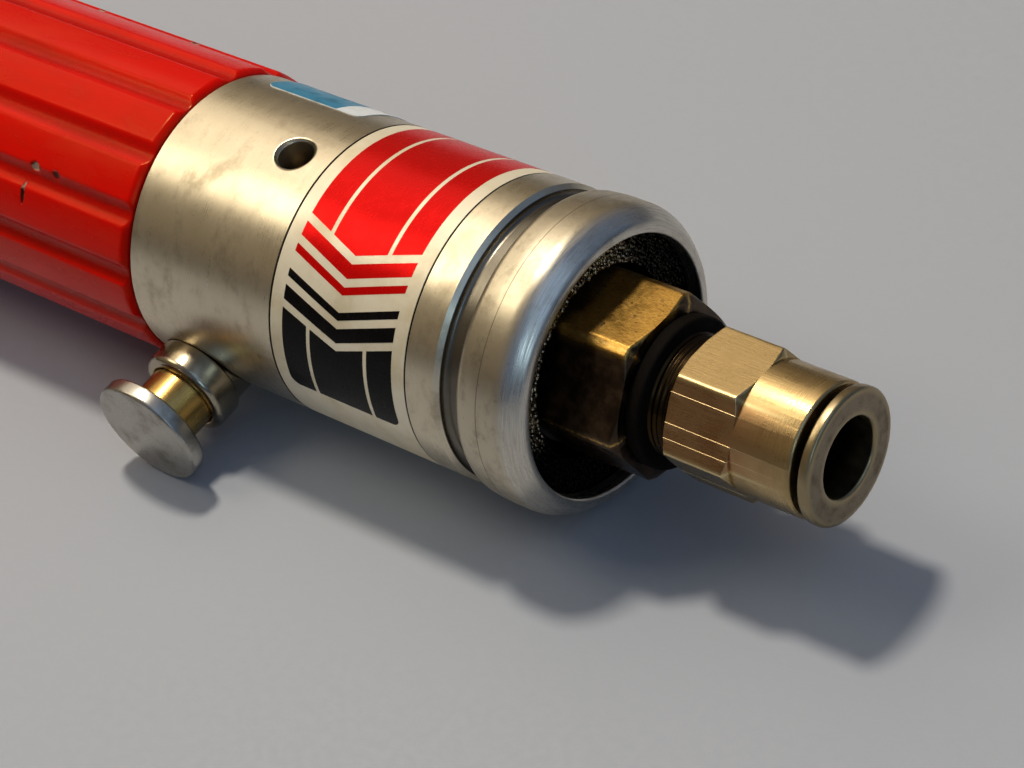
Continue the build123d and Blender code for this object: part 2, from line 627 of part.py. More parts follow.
def air_ports(front, rear):
    """The two air passages from the reverse valve to the motor."""
    return drilled(front, rear, PORT_RADIUS, [(PORT_SPREAD, -BUTTON_OFFSET), (-PORT_SPREAD, -BUTTON_OFFSET)])


def exhaust_channel(front, rear):
    """Flat channel that leads the spent air along the top of the motor."""
    length = rear - front
    channel = Box(length, EXHAUST_CHANNEL_WIDTH, 2 * EXHAUST_CHANNEL_DEPTH)
    return Pos(-(front + rear) / 2, 0, stack_radius) * channel


def rotor():
    """Slotted rotor with its shaft and the sun pinion cut on the front end."""
    body_front = cylinder_front + END_FLOAT
    body_rear = cylinder_rear - END_FLOAT
    shaft_front = carrier_rear + END_FLOAT
    shaft_rear = rear_bearing_front + BEARING_WIDTH
    body = turned((shaft_front, 0), (shaft_front, SHAFT_RADIUS), (body_front, SHAFT_RADIUS),
                  (body_front, rotor_radius), (body_rear, rotor_radius), (body_rear, SHAFT_RADIUS),
                  (shaft_rear, SHAFT_RADIUS), (shaft_rear, 0))
    pinion = gear_section(SUN_TEETH, sun_radius - DEDENDUM, sun_radius + ADDENDUM, BACKLASH)
    body += prism(pinion, gear_front, shaft_front)
    slot_floor = rotor_radius - VANE_HEIGHT - RUNNING
    for vane in range(VANE_COUNT):
        slot = Box(body_rear - body_front, VANE_THICKNESS + 2 * RUNNING, 2 * VANE_HEIGHT)
        place = Pos(-(body_front + body_rear) / 2, 0, slot_floor + VANE_HEIGHT)
        body -= Rot(X=360 * vane / VANE_COUNT) * place * slot
    return body - rod(gear_front, shaft_rear, rod_bore)


def rotor_vanes():
    """Sliding vanes, shown home in their slots."""
    body_front = cylinder_front + END_FLOAT
    body_rear = cylinder_rear - END_FLOAT
    height = VANE_HEIGHT - RUNNING
    vane_box = Box(body_rear - body_front - 2 * RUNNING, VANE_THICKNESS, height)
    place = Pos(-(body_front + body_rear) / 2, 0, rotor_radius - RUNNING - height / 2)
    return Compound([Rot(X=360 * vane / VANE_COUNT) * place * vane_box for vane in range(VANE_COUNT)])


def motor_cylinder():
    """Motor cylinder, bored off centre, with exhaust slots along its top."""
    body = rod(cylinder_front, cylinder_rear, stack_radius)
    body -= Pos(0, 0, ECCENTRICITY) * rod(cylinder_front, cylinder_rear, cylinder_bore)
    middle = (cylinder_front + cylinder_rear) / 2
    slot = Cylinder(EXHAUST_SLOT_RADIUS, 2 * stack_radius, align=(Align.CENTER, Align.CENTER, Align.MIN))
    for number in range(EXHAUST_SLOTS):
        station = middle + (number - (EXHAUST_SLOTS - 1) / 2) * EXHAUST_SLOT_PITCH
        body -= Pos(-station, 0, 0) * slot
    return body - exhaust_channel(middle - EXHAUST_SLOTS * EXHAUST_SLOT_PITCH / 2, cylinder_rear)


def grip_sleeve():
    """Red grip sleeve over the case, with rounded flutes along it."""
    body = turned((grip_front, grip_bore), (grip_front, grip_radius - GRIP_BEVEL),
                  (grip_front + GRIP_BEVEL, grip_radius), (grip_rear - GRIP_BEVEL, grip_radius),
                  (grip_rear, grip_radius - GRIP_BEVEL), (grip_rear, grip_bore))
    flute_radius = (GRIP_FLUTE_WIDTH ** 2 / 4 + GRIP_FLUTE_DEPTH ** 2) / (2 * GRIP_FLUTE_DEPTH)
    orbit = grip_radius - GRIP_FLUTE_DEPTH + flute_radius
    for number in range(GRIP_FLUTES):
        place = Pos(0, *around(GRIP_FLUTE_TURN + 360 * number / GRIP_FLUTES, orbit))
        body -= place * rod(grip_front, grip_rear, flute_radius)
    return body


def rear_housing():
    """Rear housing: valve chamber, reverse valve bore, exhaust chamber and the spigots at both ends."""
    label_front = grip_rear + LABEL_SETBACK
    label_floor = housing_radius - LABEL_THICKNESS - SEATED
    label_rear = label_front + LABEL_WIDTH
    edge = housing_radius - HOUSING_BEVEL
    body = turned((rear_spigot_front, 0), (rear_spigot_front, stack_radius), (grip_rear, stack_radius),
                  (grip_rear, edge), (grip_rear + HOUSING_BEVEL, housing_radius),
                  (label_front, housing_radius), (label_front, label_floor),
                  (label_rear, label_floor), (label_rear, housing_radius),
                  (housing_rear - HOUSING_BEVEL, housing_radius), (housing_rear, edge),
                  (housing_rear, end_spigot_radius), (end_spigot_rear, end_spigot_radius),
                  (end_spigot_rear, 0), rounds={(housing_rear, end_spigot_radius): GROOVE_ROUND})
    fore_radius = CHAMBER_RADIUS - CHAMBER_FORE_STEP
    body -= rod(rear_spigot_front, chamber_front, rod_bore)
    body -= rod(chamber_front - CHAMBER_FORE_DEPTH, chamber_front, fore_radius)
    body -= rod(chamber_front, end_spigot_rear, CHAMBER_RADIUS)
    body -= rod(boss_rear, end_spigot_rear, exhaust_radius)
    exhaust_front = grip_rear + EXHAUST_SETBACK
    body -= tube(exhaust_front, end_spigot_rear, boss_radius, exhaust_radius)
    exhaust_orbit = (boss_radius + exhaust_radius) / 2
    exhaust_places = [around(turn, exhaust_orbit) for turn in EXHAUST_HOLE_TURNS]
    body -= drilled(rear_spigot_front, exhaust_front, EXHAUST_HOLE_RADIUS, exhaust_places)
    button_station = grip_rear + BUTTON_SETBACK
    body -= air_ports(rear_spigot_front, button_station)
    supply_place = [(0, -SUPPLY_HOLE_DROP)]
    body -= drilled(button_station, chamber_front, SUPPLY_HOLE_RADIUS, supply_place)
    valve_bore = rod(bore_bottom, guide_inner, button_bore)
    valve_bore += rod(pocket_bottom, bore_bottom, BUTTON_SPRING_POCKET)
    valve_bore += rod(guide_inner, 2 * housing_radius, GUIDE_RADIUS + SEATED)
    body -= button_place * valve_bore
    hole_floor = housing_radius - TOMMY_HOLE_DEPTH
    hole_mouth = housing_radius - TOMMY_HOLE_CHAMFER
    tommy_hole = turned((hole_floor, 0), (hole_floor, TOMMY_HOLE_RADIUS), (hole_mouth, TOMMY_HOLE_RADIUS),
                        (housing_radius + TOMMY_HOLE_CHAMFER, TOMMY_HOLE_RADIUS + 2 * TOMMY_HOLE_CHAMFER),
                        (housing_radius + TOMMY_HOLE_CHAMFER, 0))
    upright = Pos(-(grip_rear + TOMMY_HOLE_SETBACK), 0, 0) * Rot(X=-TOMMY_HOLE_TURN) * Rot(Y=90)
    return body - upright * tommy_hole


def service_sticker():
    """Thin sticker on the housing, away from the button."""
    front = grip_rear + STICKER_SETBACK
    rear = front + STICKER_WIDTH
    inside = housing_radius + SEATED
    outside = inside + STICKER_THICKNESS
    patch = turned((front, inside), (front, outside), (rear, outside), (rear, inside), arc=STICKER_SPAN)
    return Rot(X=90 - STICKER_TURN) * patch


def start_valve():
    """Valve disc on the push rod, which carries the seal on its front face."""
    radius = CHAMBER_RADIUS - POPPET_ROOM
    return tube(poppet_front, poppet_rear, PUSH_ROD_RADIUS + SEATED, radius)


def button_spool():
    """Brass spool and stem of the reverse button in one piece, hollow at the inner end for its spring."""
    waist_inner = spool_inner + BUTTON_SPRING_DEPTH + BUTTON_LAND / 2
    waist_outer = spool_outer - BUTTON_LAND
    body = turned((spool_inner, 0), (spool_inner, BUTTON_SPOOL_RADIUS), (waist_inner, BUTTON_SPOOL_RADIUS),
                  (waist_inner, BUTTON_WAIST_RADIUS), (waist_outer, BUTTON_WAIST_RADIUS),
                  (waist_outer, BUTTON_SPOOL_RADIUS), (spool_outer, BUTTON_SPOOL_RADIUS),
                  (spool_outer, BUTTON_STEM_RADIUS), (head_inner, BUTTON_STEM_RADIUS), (head_inner, 0))
    return button_place * (body - rod(spool_inner, spool_inner + BUTTON_SPRING_DEPTH, BUTTON_SPRING_POCKET))


def button_head():
    """Round steel head of the reverse button with a chamfered rim."""
    edge = BUTTON_HEAD_RADIUS - BUTTON_HEAD_CHAMFER
    return button_place * turned((head_inner, 0), (head_inner, BUTTON_HEAD_RADIUS),
                                 (head_outer - BUTTON_HEAD_CHAMFER, BUTTON_HEAD_RADIUS), (head_outer, edge),
                                 (head_outer, 0))


def button_guide():
    """Steel boss, screwed into the housing, that guides the button's stem."""
    bore = BUTTON_STEM_RADIUS + RUNNING
    return button_place * turned((guide_inner, bore), (guide_inner, GUIDE_RADIUS),
                                 (GUIDE_REACH - GUIDE_CHAMFER, GUIDE_RADIUS),
                                 (GUIDE_REACH, GUIDE_RADIUS - GUIDE_CHAMFER), (GUIDE_REACH, bore))


def end_ring():
    """Rolled ring on the housing's end, whose lip holds the silencer."""
    crown = housing_radius + END_RING_PROUD
    bore = end_spigot_radius + SEATED
    crown_front = end_ring_front + END_RING_SLOPE
    crown_rear = crown_front + END_RING_CROWN
    mouth = end_spigot_radius - END_RING_MOUTH
    lip_radius = mouth + END_RING_LIP_WALL
    lip_front = end_ring_rear - END_RING_LIP
    rounds = {(crown_front, crown): END_RING_ROUND, (crown_rear, crown): END_RING_ROUND,
              (end_ring_rear, lip_radius): END_RING_LIP_ROUND}
    return turned((end_ring_front, bore), (end_ring_front, bore + END_RING_FOOT), (crown_front, crown),
                  (crown_rear, crown), (end_ring_rear, lip_radius), (end_ring_rear, mouth),
                  (lip_front, mouth), (lip_front, bore), rounds=rounds)


def inlet_bush():
    """Hexagonal inlet bush screwed into the housing's boss, threaded for the hose fitting."""
    body = hex_bar(INLET_HEX, boss_rear, inlet_hex_rear, INLET_HEX_CHAMFER)
    body += rod(inlet_front, boss_rear, CHAMBER_RADIUS - SEATED)
    body -= rod(inlet_front, inlet_hex_rear, INLET_BORE_RADIUS)
    return body - rod(inlet_hex_rear - INLET_THREAD_DEPTH, inlet_hex_rear, INLET_THREAD_RADIUS)


def inlet_strainer():
    """Perforated disc that keeps dirt out of the valve."""
    front = inlet_front + VALVE_SPRING_WIRE
    body = rod(front, front + STRAINER_THICKNESS, INLET_BORE_RADIUS - SEATED)
    rows = [(0, 0)]
    for orbit, count in STRAINER_RINGS:
        rows += [around(360 * hole / count, orbit) for hole in range(count)]
    return body - drilled(front, front + STRAINER_THICKNESS, STRAINER_HOLE_RADIUS, rows)


def fitting_body():
    """Push-in hose fitting: threaded tail, neck, hexagon and round body with the hose socket."""
    tail_radius = INLET_THREAD_RADIUS - SEATED
    tail_front = inlet_hex_rear - INLET_THREAD_DEPTH + STOP_GAP
    body = rod(tail_front, inlet_washer_rear, tail_radius)
    body += rod(inlet_washer_rear, fitting_hex_front, FITTING_NECK_RADIUS)
    body += hex_bar(FITTING_HEX, fitting_hex_front, fitting_hex_rear, FITTING_HEX_CHAMFER)
    body += turned((fitting_hex_rear, 0), (fitting_hex_rear, FITTING_RADIUS),
                   (fitting_rear - FITTING_CHAMFER, FITTING_RADIUS),
                   (fitting_rear, FITTING_RADIUS - FITTING_CHAMFER), (fitting_rear, 0))
    body -= rod(tail_front, hose_stop, FITTING_AIR_RADIUS)
    body -= rod(hose_stop, fitting_rear, HOSE_RADIUS)
    body -= rod(collet_pocket_front, fitting_rear, HOSE_RADIUS + COLLET_WALL + RUNNING)
    seal_half = FITTING_SEAL_WIRE + SEATED
    return body - rod(seal_station() - seal_half, seal_station() + seal_half, HOSE_RADIUS + 2 * seal_half)


def seal_station():
    """Middle of the hose seal's groove, between the hose stop and the collet's pocket."""
    return (hose_stop + collet_pocket_front) / 2


def release_collet():
    """Release ring of the hose fitting, with a barrel that slides in the fitting."""
    barrel = HOSE_RADIUS + COLLET_WALL
    return turned((collet_front, HOSE_RADIUS), (collet_front, barrel), (collet_flange_front, barrel),
                  (collet_flange_front, COLLET_FLANGE_RADIUS),
                  (collet_rear - COLLET_CHAMFER, COLLET_FLANGE_RADIUS),
                  (collet_rear, COLLET_FLANGE_RADIUS - COLLET_CHAMFER),
                  (collet_rear, HOSE_RADIUS + COLLET_CHAMFER), (collet_rear - COLLET_CHAMFER, HOSE_RADIUS))


def all_nodes():
    """Every piece of the tool under its own name."""
    front_outer, front_inner, front_balls = bearing(front_bearing_rear - BEARING_WIDTH)
    rear_outer, rear_inner, rear_balls = bearing(rear_bearing_front)
    nodes = {
        "screwdriver_bit": screwdriver_bit(),
        "bit_holder": bit_holder(),
        "retaining_ball": Pos(-ball_station, 0, ball_orbit) * Sphere(BALL_RADIUS),
        "chuck_sleeve": chuck_sleeve(),
        "chuck_spring": coil_spring(circlip_rear, ridge_front, (holder_radius + sleeve_pocket) / 2,
                                    CHUCK_SPRING_WIRE, CHUCK_SPRING_TURNS),
        "chuck_circlip": tube(circlip_front + SEATED, circlip_rear - SEATED,
                              holder_radius - CIRCLIP_DEPTH + SEATED, sleeve_pocket - STOP_GAP),
        "nose_piece": nose_piece(),
        "nose_bush": tube(nose_front + NOSE_LIP, nose_front + NOSE_LIP + NOSE_BUSH_LENGTH,
                          spindle_radius + RUNNING, nose_bush_radius),
        "thrust_washer": tube(nose_rear, washer_rear, spindle_radius + SHAFT_ROOM, clutch_plate_radius),
        "clutch_housing": clutch_housing(),
        "clutch_shaft": clutch_shaft(),
        "clutch_nut": clutch_nut(),
        "clutch_spring": coil_spring(nut_rear, plate_front, clutch_ball_orbit, CLUTCH_SPRING_WIRE,
                                     CLUTCH_SPRING_TURNS),
        "clutch_plate": clutch_half(tube(plate_front, plate_rear, clutch_shaft_radius + SEATED,
                                         clutch_plate_radius)),
        "clutch_balls": Compound(ring_of_balls(clutch_ball_station, clutch_ball_orbit, CLUTCH_BALL_RADIUS,
                                               CLUTCH_BALL_COUNT)),
        "clutch_driver": clutch_half(rod(driver_front, driver_rear, clutch_plate_radius)
                                     - prism(hexagon(SPINDLE_HEX + 2 * SEATED), driver_front, driver_rear)),
        "carrier_bush": carrier_bush(),
        "planet_carrier": planet_carrier(),
        "planet_pins": drilled(carrier_front, carrier_rear, PLANET_PIN_RADIUS,
                               [around(turn, orbit_radius) for turn in planet_places()]),
        "ring_gear": ring_gear(),
        "front_end_plate": end_plate(ring_rear, cylinder_front, ring_rear, front_bearing_rear),
        "front_bearing_outer": front_outer,
        "front_bearing_inner": front_inner,
        "front_bearing_balls": front_balls,
        "rotor": rotor(),
        "rotor_vanes": rotor_vanes(),
        "motor_cylinder": motor_cylinder(),
        "rear_end_plate": end_plate(cylinder_rear, rear_spigot_front, rear_bearing_front, rear_spigot_front)
        - air_ports(cylinder_rear, rear_spigot_front) - exhaust_channel(cylinder_rear, rear_spigot_front),
        "rear_bearing_outer": rear_outer,
        "rear_bearing_inner": rear_inner,
        "rear_bearing_balls": rear_balls,
        "motor_case": tube(grip_front, grip_rear, case_bore, case_radius),
        "grip_sleeve": grip_sleeve(),
        "rear_housing": rear_housing(),
        "label_band": tube(grip_rear + LABEL_SETBACK, grip_rear + LABEL_SETBACK + LABEL_WIDTH,
                           housing_radius - LABEL_THICKNESS, housing_radius),
        "service_sticker": service_sticker(),
        "push_rod": rod(spindle_rear + STOP_GAP, poppet_rear, PUSH_ROD_RADIUS),
        "start_valve": start_valve(),
        "valve_seal": tube(seal_front, poppet_front, SEAT_HOLE_RADIUS, CHAMBER_RADIUS - POPPET_ROOM),
        "valve_seat": tube(chamber_front, seat_rear, SEAT_HOLE_RADIUS, CHAMBER_RADIUS - SEATED),
        "valve_spring": coil_spring(poppet_rear, inlet_front, INLET_BORE_RADIUS + 2 * VALVE_SPRING_WIRE,
                                    VALVE_SPRING_WIRE, VALVE_SPRING_TURNS),
        "button_head": button_head(),
        "button_spool": button_spool(),
        "button_guide": button_guide(),
        "button_spring": button_place * coil_spring(pocket_bottom, spool_inner + BUTTON_SPRING_DEPTH,
                                                    BUTTON_SPRING_POCKET - 2 * BUTTON_SPRING_WIRE,
                                                    BUTTON_SPRING_WIRE, BUTTON_SPRING_TURNS),
        "exhaust_silencer": tube(end_spigot_rear, silencer_rear, INLET_HEX / math.sqrt(3) + SILENCER_HOLE_GAP,
                                 end_spigot_radius - SEATED),
        "end_ring": end_ring(),
        "inlet_bush": inlet_bush(),
        "inlet_strainer": inlet_strainer(),
        "inlet_washer": tube(inlet_hex_rear, inlet_washer_rear, INLET_THREAD_RADIUS + SEATED,
                             INLET_WASHER_RADIUS),
        "fitting_body": fitting_body(),
        "fitting_seal": Pos(-seal_station(), 0, 0) * Rot(Y=90)
        * Torus(HOSE_RADIUS + FITTING_SEAL_WIRE + SEATED, FITTING_SEAL_WIRE),
        "release_collet": release_collet(),
    }
    for number, turn in enumerate(planet_places(), start=1):
        nodes[f"planet_gear_{number}"] = planet_gear(turn)
    return nodes


os.makedirs("parts", exist_ok=True)
for name, piece in all_nodes().items():
    export_step(piece, f"parts/{name}.step")
print("total length", round(collet_rear, 2), "grip radius", round(grip_radius, 2))
print("button lean, degrees", round(math.degrees(button_lean), 2))
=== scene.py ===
import json
import math
import random

import bmesh
import bpy
import numpy as np
from mathutils import Matrix, Vector


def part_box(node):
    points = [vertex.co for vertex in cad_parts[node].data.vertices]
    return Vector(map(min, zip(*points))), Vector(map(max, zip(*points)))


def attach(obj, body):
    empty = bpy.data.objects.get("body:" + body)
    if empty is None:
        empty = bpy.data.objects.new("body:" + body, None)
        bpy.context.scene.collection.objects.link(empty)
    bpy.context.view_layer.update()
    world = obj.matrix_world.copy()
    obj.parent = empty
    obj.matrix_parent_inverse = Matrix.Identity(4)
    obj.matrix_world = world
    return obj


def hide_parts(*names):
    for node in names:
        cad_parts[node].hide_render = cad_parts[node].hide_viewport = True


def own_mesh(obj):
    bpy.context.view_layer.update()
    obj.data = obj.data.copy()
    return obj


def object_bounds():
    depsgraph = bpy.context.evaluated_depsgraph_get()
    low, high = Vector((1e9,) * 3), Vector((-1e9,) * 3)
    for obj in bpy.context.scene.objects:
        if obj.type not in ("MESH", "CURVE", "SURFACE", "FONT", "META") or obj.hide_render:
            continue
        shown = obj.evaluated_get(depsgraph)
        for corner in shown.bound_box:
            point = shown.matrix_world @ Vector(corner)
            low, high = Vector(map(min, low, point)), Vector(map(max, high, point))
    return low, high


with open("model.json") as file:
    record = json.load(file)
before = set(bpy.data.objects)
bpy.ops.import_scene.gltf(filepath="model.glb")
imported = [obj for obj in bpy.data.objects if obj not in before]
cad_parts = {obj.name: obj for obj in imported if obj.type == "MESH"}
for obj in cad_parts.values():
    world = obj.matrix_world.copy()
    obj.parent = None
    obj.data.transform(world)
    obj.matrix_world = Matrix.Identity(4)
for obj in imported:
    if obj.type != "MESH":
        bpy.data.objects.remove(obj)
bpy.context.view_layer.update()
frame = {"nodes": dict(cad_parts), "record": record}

# Works inside the tool: hardened gears, ball bearings, springs, bronze bushes, the vane motor and its valve.
# They are ground, turned or wound in plain oiled metals and are stacked in the motor case from both ends.
MM = 0.001
UNEVEN = 0.14
SCORED = 0.12
EVEN = (0.5, 0.5, 0.5)
ROUND = (0.06, 4, 4)


def screen(red, green, blue):
    """Colour as it looks on a screen, 0 to 255 each, in the linear values that a shader takes."""
    shares = [value / 255 for value in (red, green, blue)]
    return tuple(share / 12.92 if share < 0.04 else ((share + 0.055) / 1.055) ** 2.4 for share in shares)


class Finish:
    """A material under construction: its main shader, and patterns laid out in the piece's millimetres."""

    FACE_MARKS = 1.7
    USUAL_RADIUS = 16

    def __init__(self, name, metallic=0.0):
        self.material = bpy.data.materials.new(name)
        self.material.use_nodes = True
        self.nodes = self.material.node_tree.nodes
        self.links = self.material.node_tree.links
        self.shader = self.nodes["Principled BSDF"]
        self.place = self.nodes.new("ShaderNodeTexCoord").outputs["Object"]
        self.drive("Metallic", metallic)

    def feed(self, socket, value):
        """Joins a socket to another node's output, or sets it."""
        if isinstance(value, bpy.types.NodeSocket):
            self.links.new(value, socket)
        else:
            socket.default_value = value

    def drive(self, socket, value):
        """Feeds one of the main shader's sockets."""
        self.feed(self.shader.inputs[socket], value)

    def calc(self, operation, *values):
        """Arithmetic on one, two or three values."""
        made = self.nodes.new("ShaderNodeMath")
        made.operation = operation
        for socket, value in zip(made.inputs, values):
            self.feed(socket, value)
        return made.outputs[0]

    def both(self, first, second):
        """How far two marks hold at the same spot."""
        return self.calc("MULTIPLY", first, second)

    def between(self, share, under, over):
        """Number that goes from under to over with share."""
        return self.calc("MULTIPLY_ADD", share, self.calc("SUBTRACT", over, under), under)

    def span(self, first, second):
        """Length of the slant over two lengths that are square to each other."""
        squares = [self.calc("MULTIPLY", side, side) for side in (first, second)]
        return self.calc("SQRT", self.calc("ADD", *squares))

    def axes(self):
        """The piece's own x, y and z, in metres."""
        made = self.nodes.new("ShaderNodeSeparateXYZ")
        self.feed(made.inputs[0], self.place)
        return made.outputs

    def noise(self, place, detail, spread):
        """Noise from 0 to 1 whose spots are about one unit across."""
        made = self.nodes.new("ShaderNodeTexNoise")
        for socket, value in (("Vector", place), ("Scale", 1.0), ("Detail", detail), ("Roughness", spread)):
            self.feed(made.inputs[socket], value)
        return made.outputs[0]

    def grain(self, size, detail=3.0, spread=0.55):
        """Noise in spots of so many millimetres, with one size all round or three along x, y and z."""
        stretched = self.nodes.new("ShaderNodeMapping")
        self.feed(stretched.inputs["Vector"], self.place)
        self.feed(stretched.inputs["Scale"], [1 / (MM * length) for length in np.broadcast_to(size, 3)])
        return self.noise(stretched.outputs[0], detail, spread)

    def lathe_grain(self, fine, length, detail=3.0):
        """Noise like lathe marks: fine across them, and long round the X axis, in millimetres."""
        x, y, z = self.axes()
        out = self.span(y, z)
        wound = self.nodes.new("ShaderNodeCombineXYZ")
        across = self.calc("MULTIPLY_ADD", out, self.FACE_MARKS, x)
        self.feed(wound.inputs[0], self.calc("DIVIDE", across, fine * MM))
        for socket, side in zip(wound.inputs[1:], (y, z)):
            share = self.calc("DIVIDE", side, out)
            self.feed(socket, self.calc("MULTIPLY", share, self.USUAL_RADIUS / length))
        return self.noise(wound.outputs[0], detail, 0.5)

    def step(self, value, low, high, start=0.0, end=1.0):
        """Goes smoothly from start to end while value goes from low to high."""
        made = self.nodes.new("ShaderNodeMapRange")
        made.interpolation_type = "SMOOTHSTEP"
        for socket, entry in zip(made.inputs, (value, low, high, start, end)):
            self.feed(socket, entry)
        return made.outputs[0]

    def mask(self, name):
        """A value that the mesh carries at each of its points."""
        made = self.nodes.new("ShaderNodeAttribute")
        made.attribute_name = name
        return made.outputs["Fac"]

    def tint(self, share, under, over):
        """Colour that goes from under to over with share. Colours are given as they look on a screen."""
        made = self.nodes.new("ShaderNodeMix")
        made.data_type = "RGBA"
        self.feed(made.inputs[0], share)
        for socket, colour in ((made.inputs[6], under), (made.inputs[7], over)):
            self.feed(socket, (*screen(*colour), 1) if isinstance(colour, tuple) else colour)
        return made.outputs[2]

    def emboss(self, height, depth, under=None):
        """Bump of depth millimetres from a height of 0 to 1, over an earlier bump."""
        made = self.nodes.new("ShaderNodeBump")
        made.inputs["Distance"].default_value = depth * MM
        self.feed(made.inputs["Height"], height)
        if under:
            self.feed(made.inputs["Normal"], under)
        self.drive("Normal", made.outputs[0])
        return made.outputs[0]


def machined(name, colour, stain, roughness, lay, mark=0.004, cloud=7.0):
    """Bare machined metal: tool marks along its lay, cloudy staining and an uneven polish."""
    metal = Finish(name, metallic=1.0)
    clouds = metal.grain(cloud, 5.0, 0.6)
    marks = metal.grain(lay, 2.0)
    metal.drive("Base Color", metal.tint(metal.step(clouds, 0.46, 0.74), colour, stain))
    polish = metal.calc("MULTIPLY_ADD", clouds, UNEVEN, roughness - (UNEVEN + SCORED) / 2)
    metal.drive("Roughness", metal.calc("MULTIPLY_ADD", marks, SCORED, polish))
    metal.emboss(marks, mark)
    return metal


def plain(name, size, under, over, roughness, depth, detail=3.0):
    """Stuff that isn't metal: one grain gives it two colours, two polishes and a relief."""
    stuff = Finish(name)
    spots = stuff.grain(size, detail)
    stuff.drive("Base Color", stuff.tint(spots, under, over))
    stuff.drive("Roughness", stuff.step(spots, 0.3, 0.7, *roughness))
    stuff.emboss(spots, depth)
    return stuff


def coat(node, finish):
    """Gives its material to a CAD piece that is shown as it is."""
    frame["nodes"][node].material_slots[0].material = finish.material


INSIDE = {slot: machined(slot, *look) for slot, *look in (
    ("gear_steel", (150, 150, 152), (112, 106, 98), 0.30, EVEN),
    ("bearing_steel", (190, 191, 194), (168, 166, 160), 0.14, ROUND, 0.001),
    ("bush_bronze", (176, 126, 70), (122, 82, 44), 0.42, EVEN),
    ("spring_steel", (122, 122, 124), (86, 80, 74), 0.34, EVEN),
    ("case_steel", (142, 143, 146), (110, 106, 100), 0.38, ROUND),
    ("spindle_steel", (160, 161, 164), (120, 116, 108), 0.30, ROUND),
    ("stem_brass", (204, 168, 98), (156, 118, 62), 0.26, ROUND))}
for slot, *look in (
        ("seal_rubber", 0.6, (20, 20, 22), (48, 47, 46), (0.5, 0.75), 0.01),
        ("vane_laminate", (8, 0.15, 8), (94, 54, 28), (146, 94, 54), (0.45, 0.65), 0.02, 2.0)):
    INSIDE[slot] = plain(slot, *look)
for part in frame["record"]["subparts"]:
    if part["material_slot"] in INSIDE:
        coat(part["node"], INSIDE[part["material_slot"]])

# Grip sleeve: a hard red sleeve pressed over the motor case, with rounded flutes milled along it for hold.
# Its ends are bevelled. Use has chipped some of its ridges and rubbed others bright.
# The flutes are darker red towards their floor, in specks.
FLUTES = 15
FLUTE_WIDTH = 2.5 * MM
FLUTE_DEPTH = 0.6 * MM
FIRST_FLUTE = math.radians(6)
COLUMNS_PER_FLUTE = 36
ROWS_ALONG = 31
ROWS_AT_ENDS = np.arange(0, 1.3, 0.1) * MM
ROWS_OVER_CHIP = np.linspace(-1.1, 1.1, 9)
GRIP_BEVEL = 0.5 * MM
EDGE_SOFTNESS = 0.12 * MM
# Each large chip: mm from the rear end, degrees from the top, then half length, half width and depth in mm
LARGE_CHIPS = ((14.8, 49.6, 0.75, 0.5, 0.3), (15.9, 61.0, 0.3, 1.3, 0.2))
SMALL_CHIPS = 9
CHIP_SEED = 7
CHIP_FREE_END = 5 * MM
BARED_DEPTH = 0.1 * MM
SLIP = 0.02 * MM
WELD = 1e-8
SHARP = math.radians(38)


def extent(node):
    """A CAD piece's rear end, front end and radius, by its box."""
    low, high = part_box(node)
    return low.x, high.x, high.y


def soft_least(first, second, softness):
    """The lesser of two lengths, with the corner between them rounded."""
    return -softness * np.logaddexp(-first / softness, -second / softness)


def spun(name, rings, turns, place=Matrix()):
    """Body round its own X axis from rings of (x, radius), each a number or one for every turn.

    The rings go rearwards outside and forwards inside, and the last one joins the first."""
    points = np.concatenate([round_axis(x, radius, turns) for x, radius in rings])
    here = np.arange(len(points)).reshape(len(rings), len(turns))
    behind = np.roll(here, -1, axis=0)
    faces = np.stack([here, np.roll(here, -1, axis=1), np.roll(behind, -1, axis=1), behind], axis=-1)
    return meshed(name, points, faces.reshape(-1, 4), place)


def round_axis(x, radius, turns):
    """Points at a radius from the X axis, at turns counted from the top towards +Y."""
    return np.stack(np.broadcast_arrays(x, radius * np.sin(turns), radius * np.cos(turns)), axis=-1)


def even_turns(count):
    """So many turns, evenly spaced round a full circle."""
    return np.linspace(0, math.tau, count, endpoint=False)


def meshed(name, points, faces, place=Matrix()):
    """Closed piece from points and faces, welded, and shaded smooth except across its sharp edges."""
    mesh = bpy.data.meshes.new(name)
    mesh.from_pydata(points.tolist(), [], faces.tolist())
    work = bmesh.new()
    work.from_mesh(mesh)
    bmesh.ops.remove_doubles(work, verts=work.verts, dist=WELD)
    bmesh.ops.dissolve_degenerate(work, edges=work.edges, dist=WELD)
    bmesh.ops.recalc_face_normals(work, faces=work.faces)
    work.to_mesh(mesh)
    work.free()
    mesh.shade_smooth()
    mesh.set_sharp_from_angle(angle=SHARP)
    piece = placed(name, mesh)
    piece.matrix_world = place
    piece.modifiers.new("even_shading", "WEIGHTED_NORMAL").keep_sharp = True
    return piece


def placed(name, data):
    """Puts a mesh, a lamp or the camera into the scene."""
    thing = bpy.data.objects.new(name, data)
    bpy.context.scene.collection.objects.link(thing)
    return thing


def places_of(piece):
    """Each point's x and z, its distance from the X axis, and its turn from the top towards +Y."""
    found = np.zeros(len(piece.data.vertices) * 3)
    piece.data.vertices.foreach_get("co", found)
    x, y, z = found.reshape(-1, 3).T
    return x, z, np.hypot(y, z), np.arctan2(y, z)


def carry(piece, **masks):
    """Stores values at each of a piece's points, for its material."""
    for name, values in masks.items():
        piece.data.attributes.new(name, "FLOAT", "POINT").data.foreach_set("value", values.astype(np.float32))


def fit(piece, finish, node, body="tool_body"):
    """Gives a finished piece its material and its body, and hides the CAD node that it stands for."""
    piece.data.materials.append(finish.material)
    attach(piece, body)
    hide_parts(node)


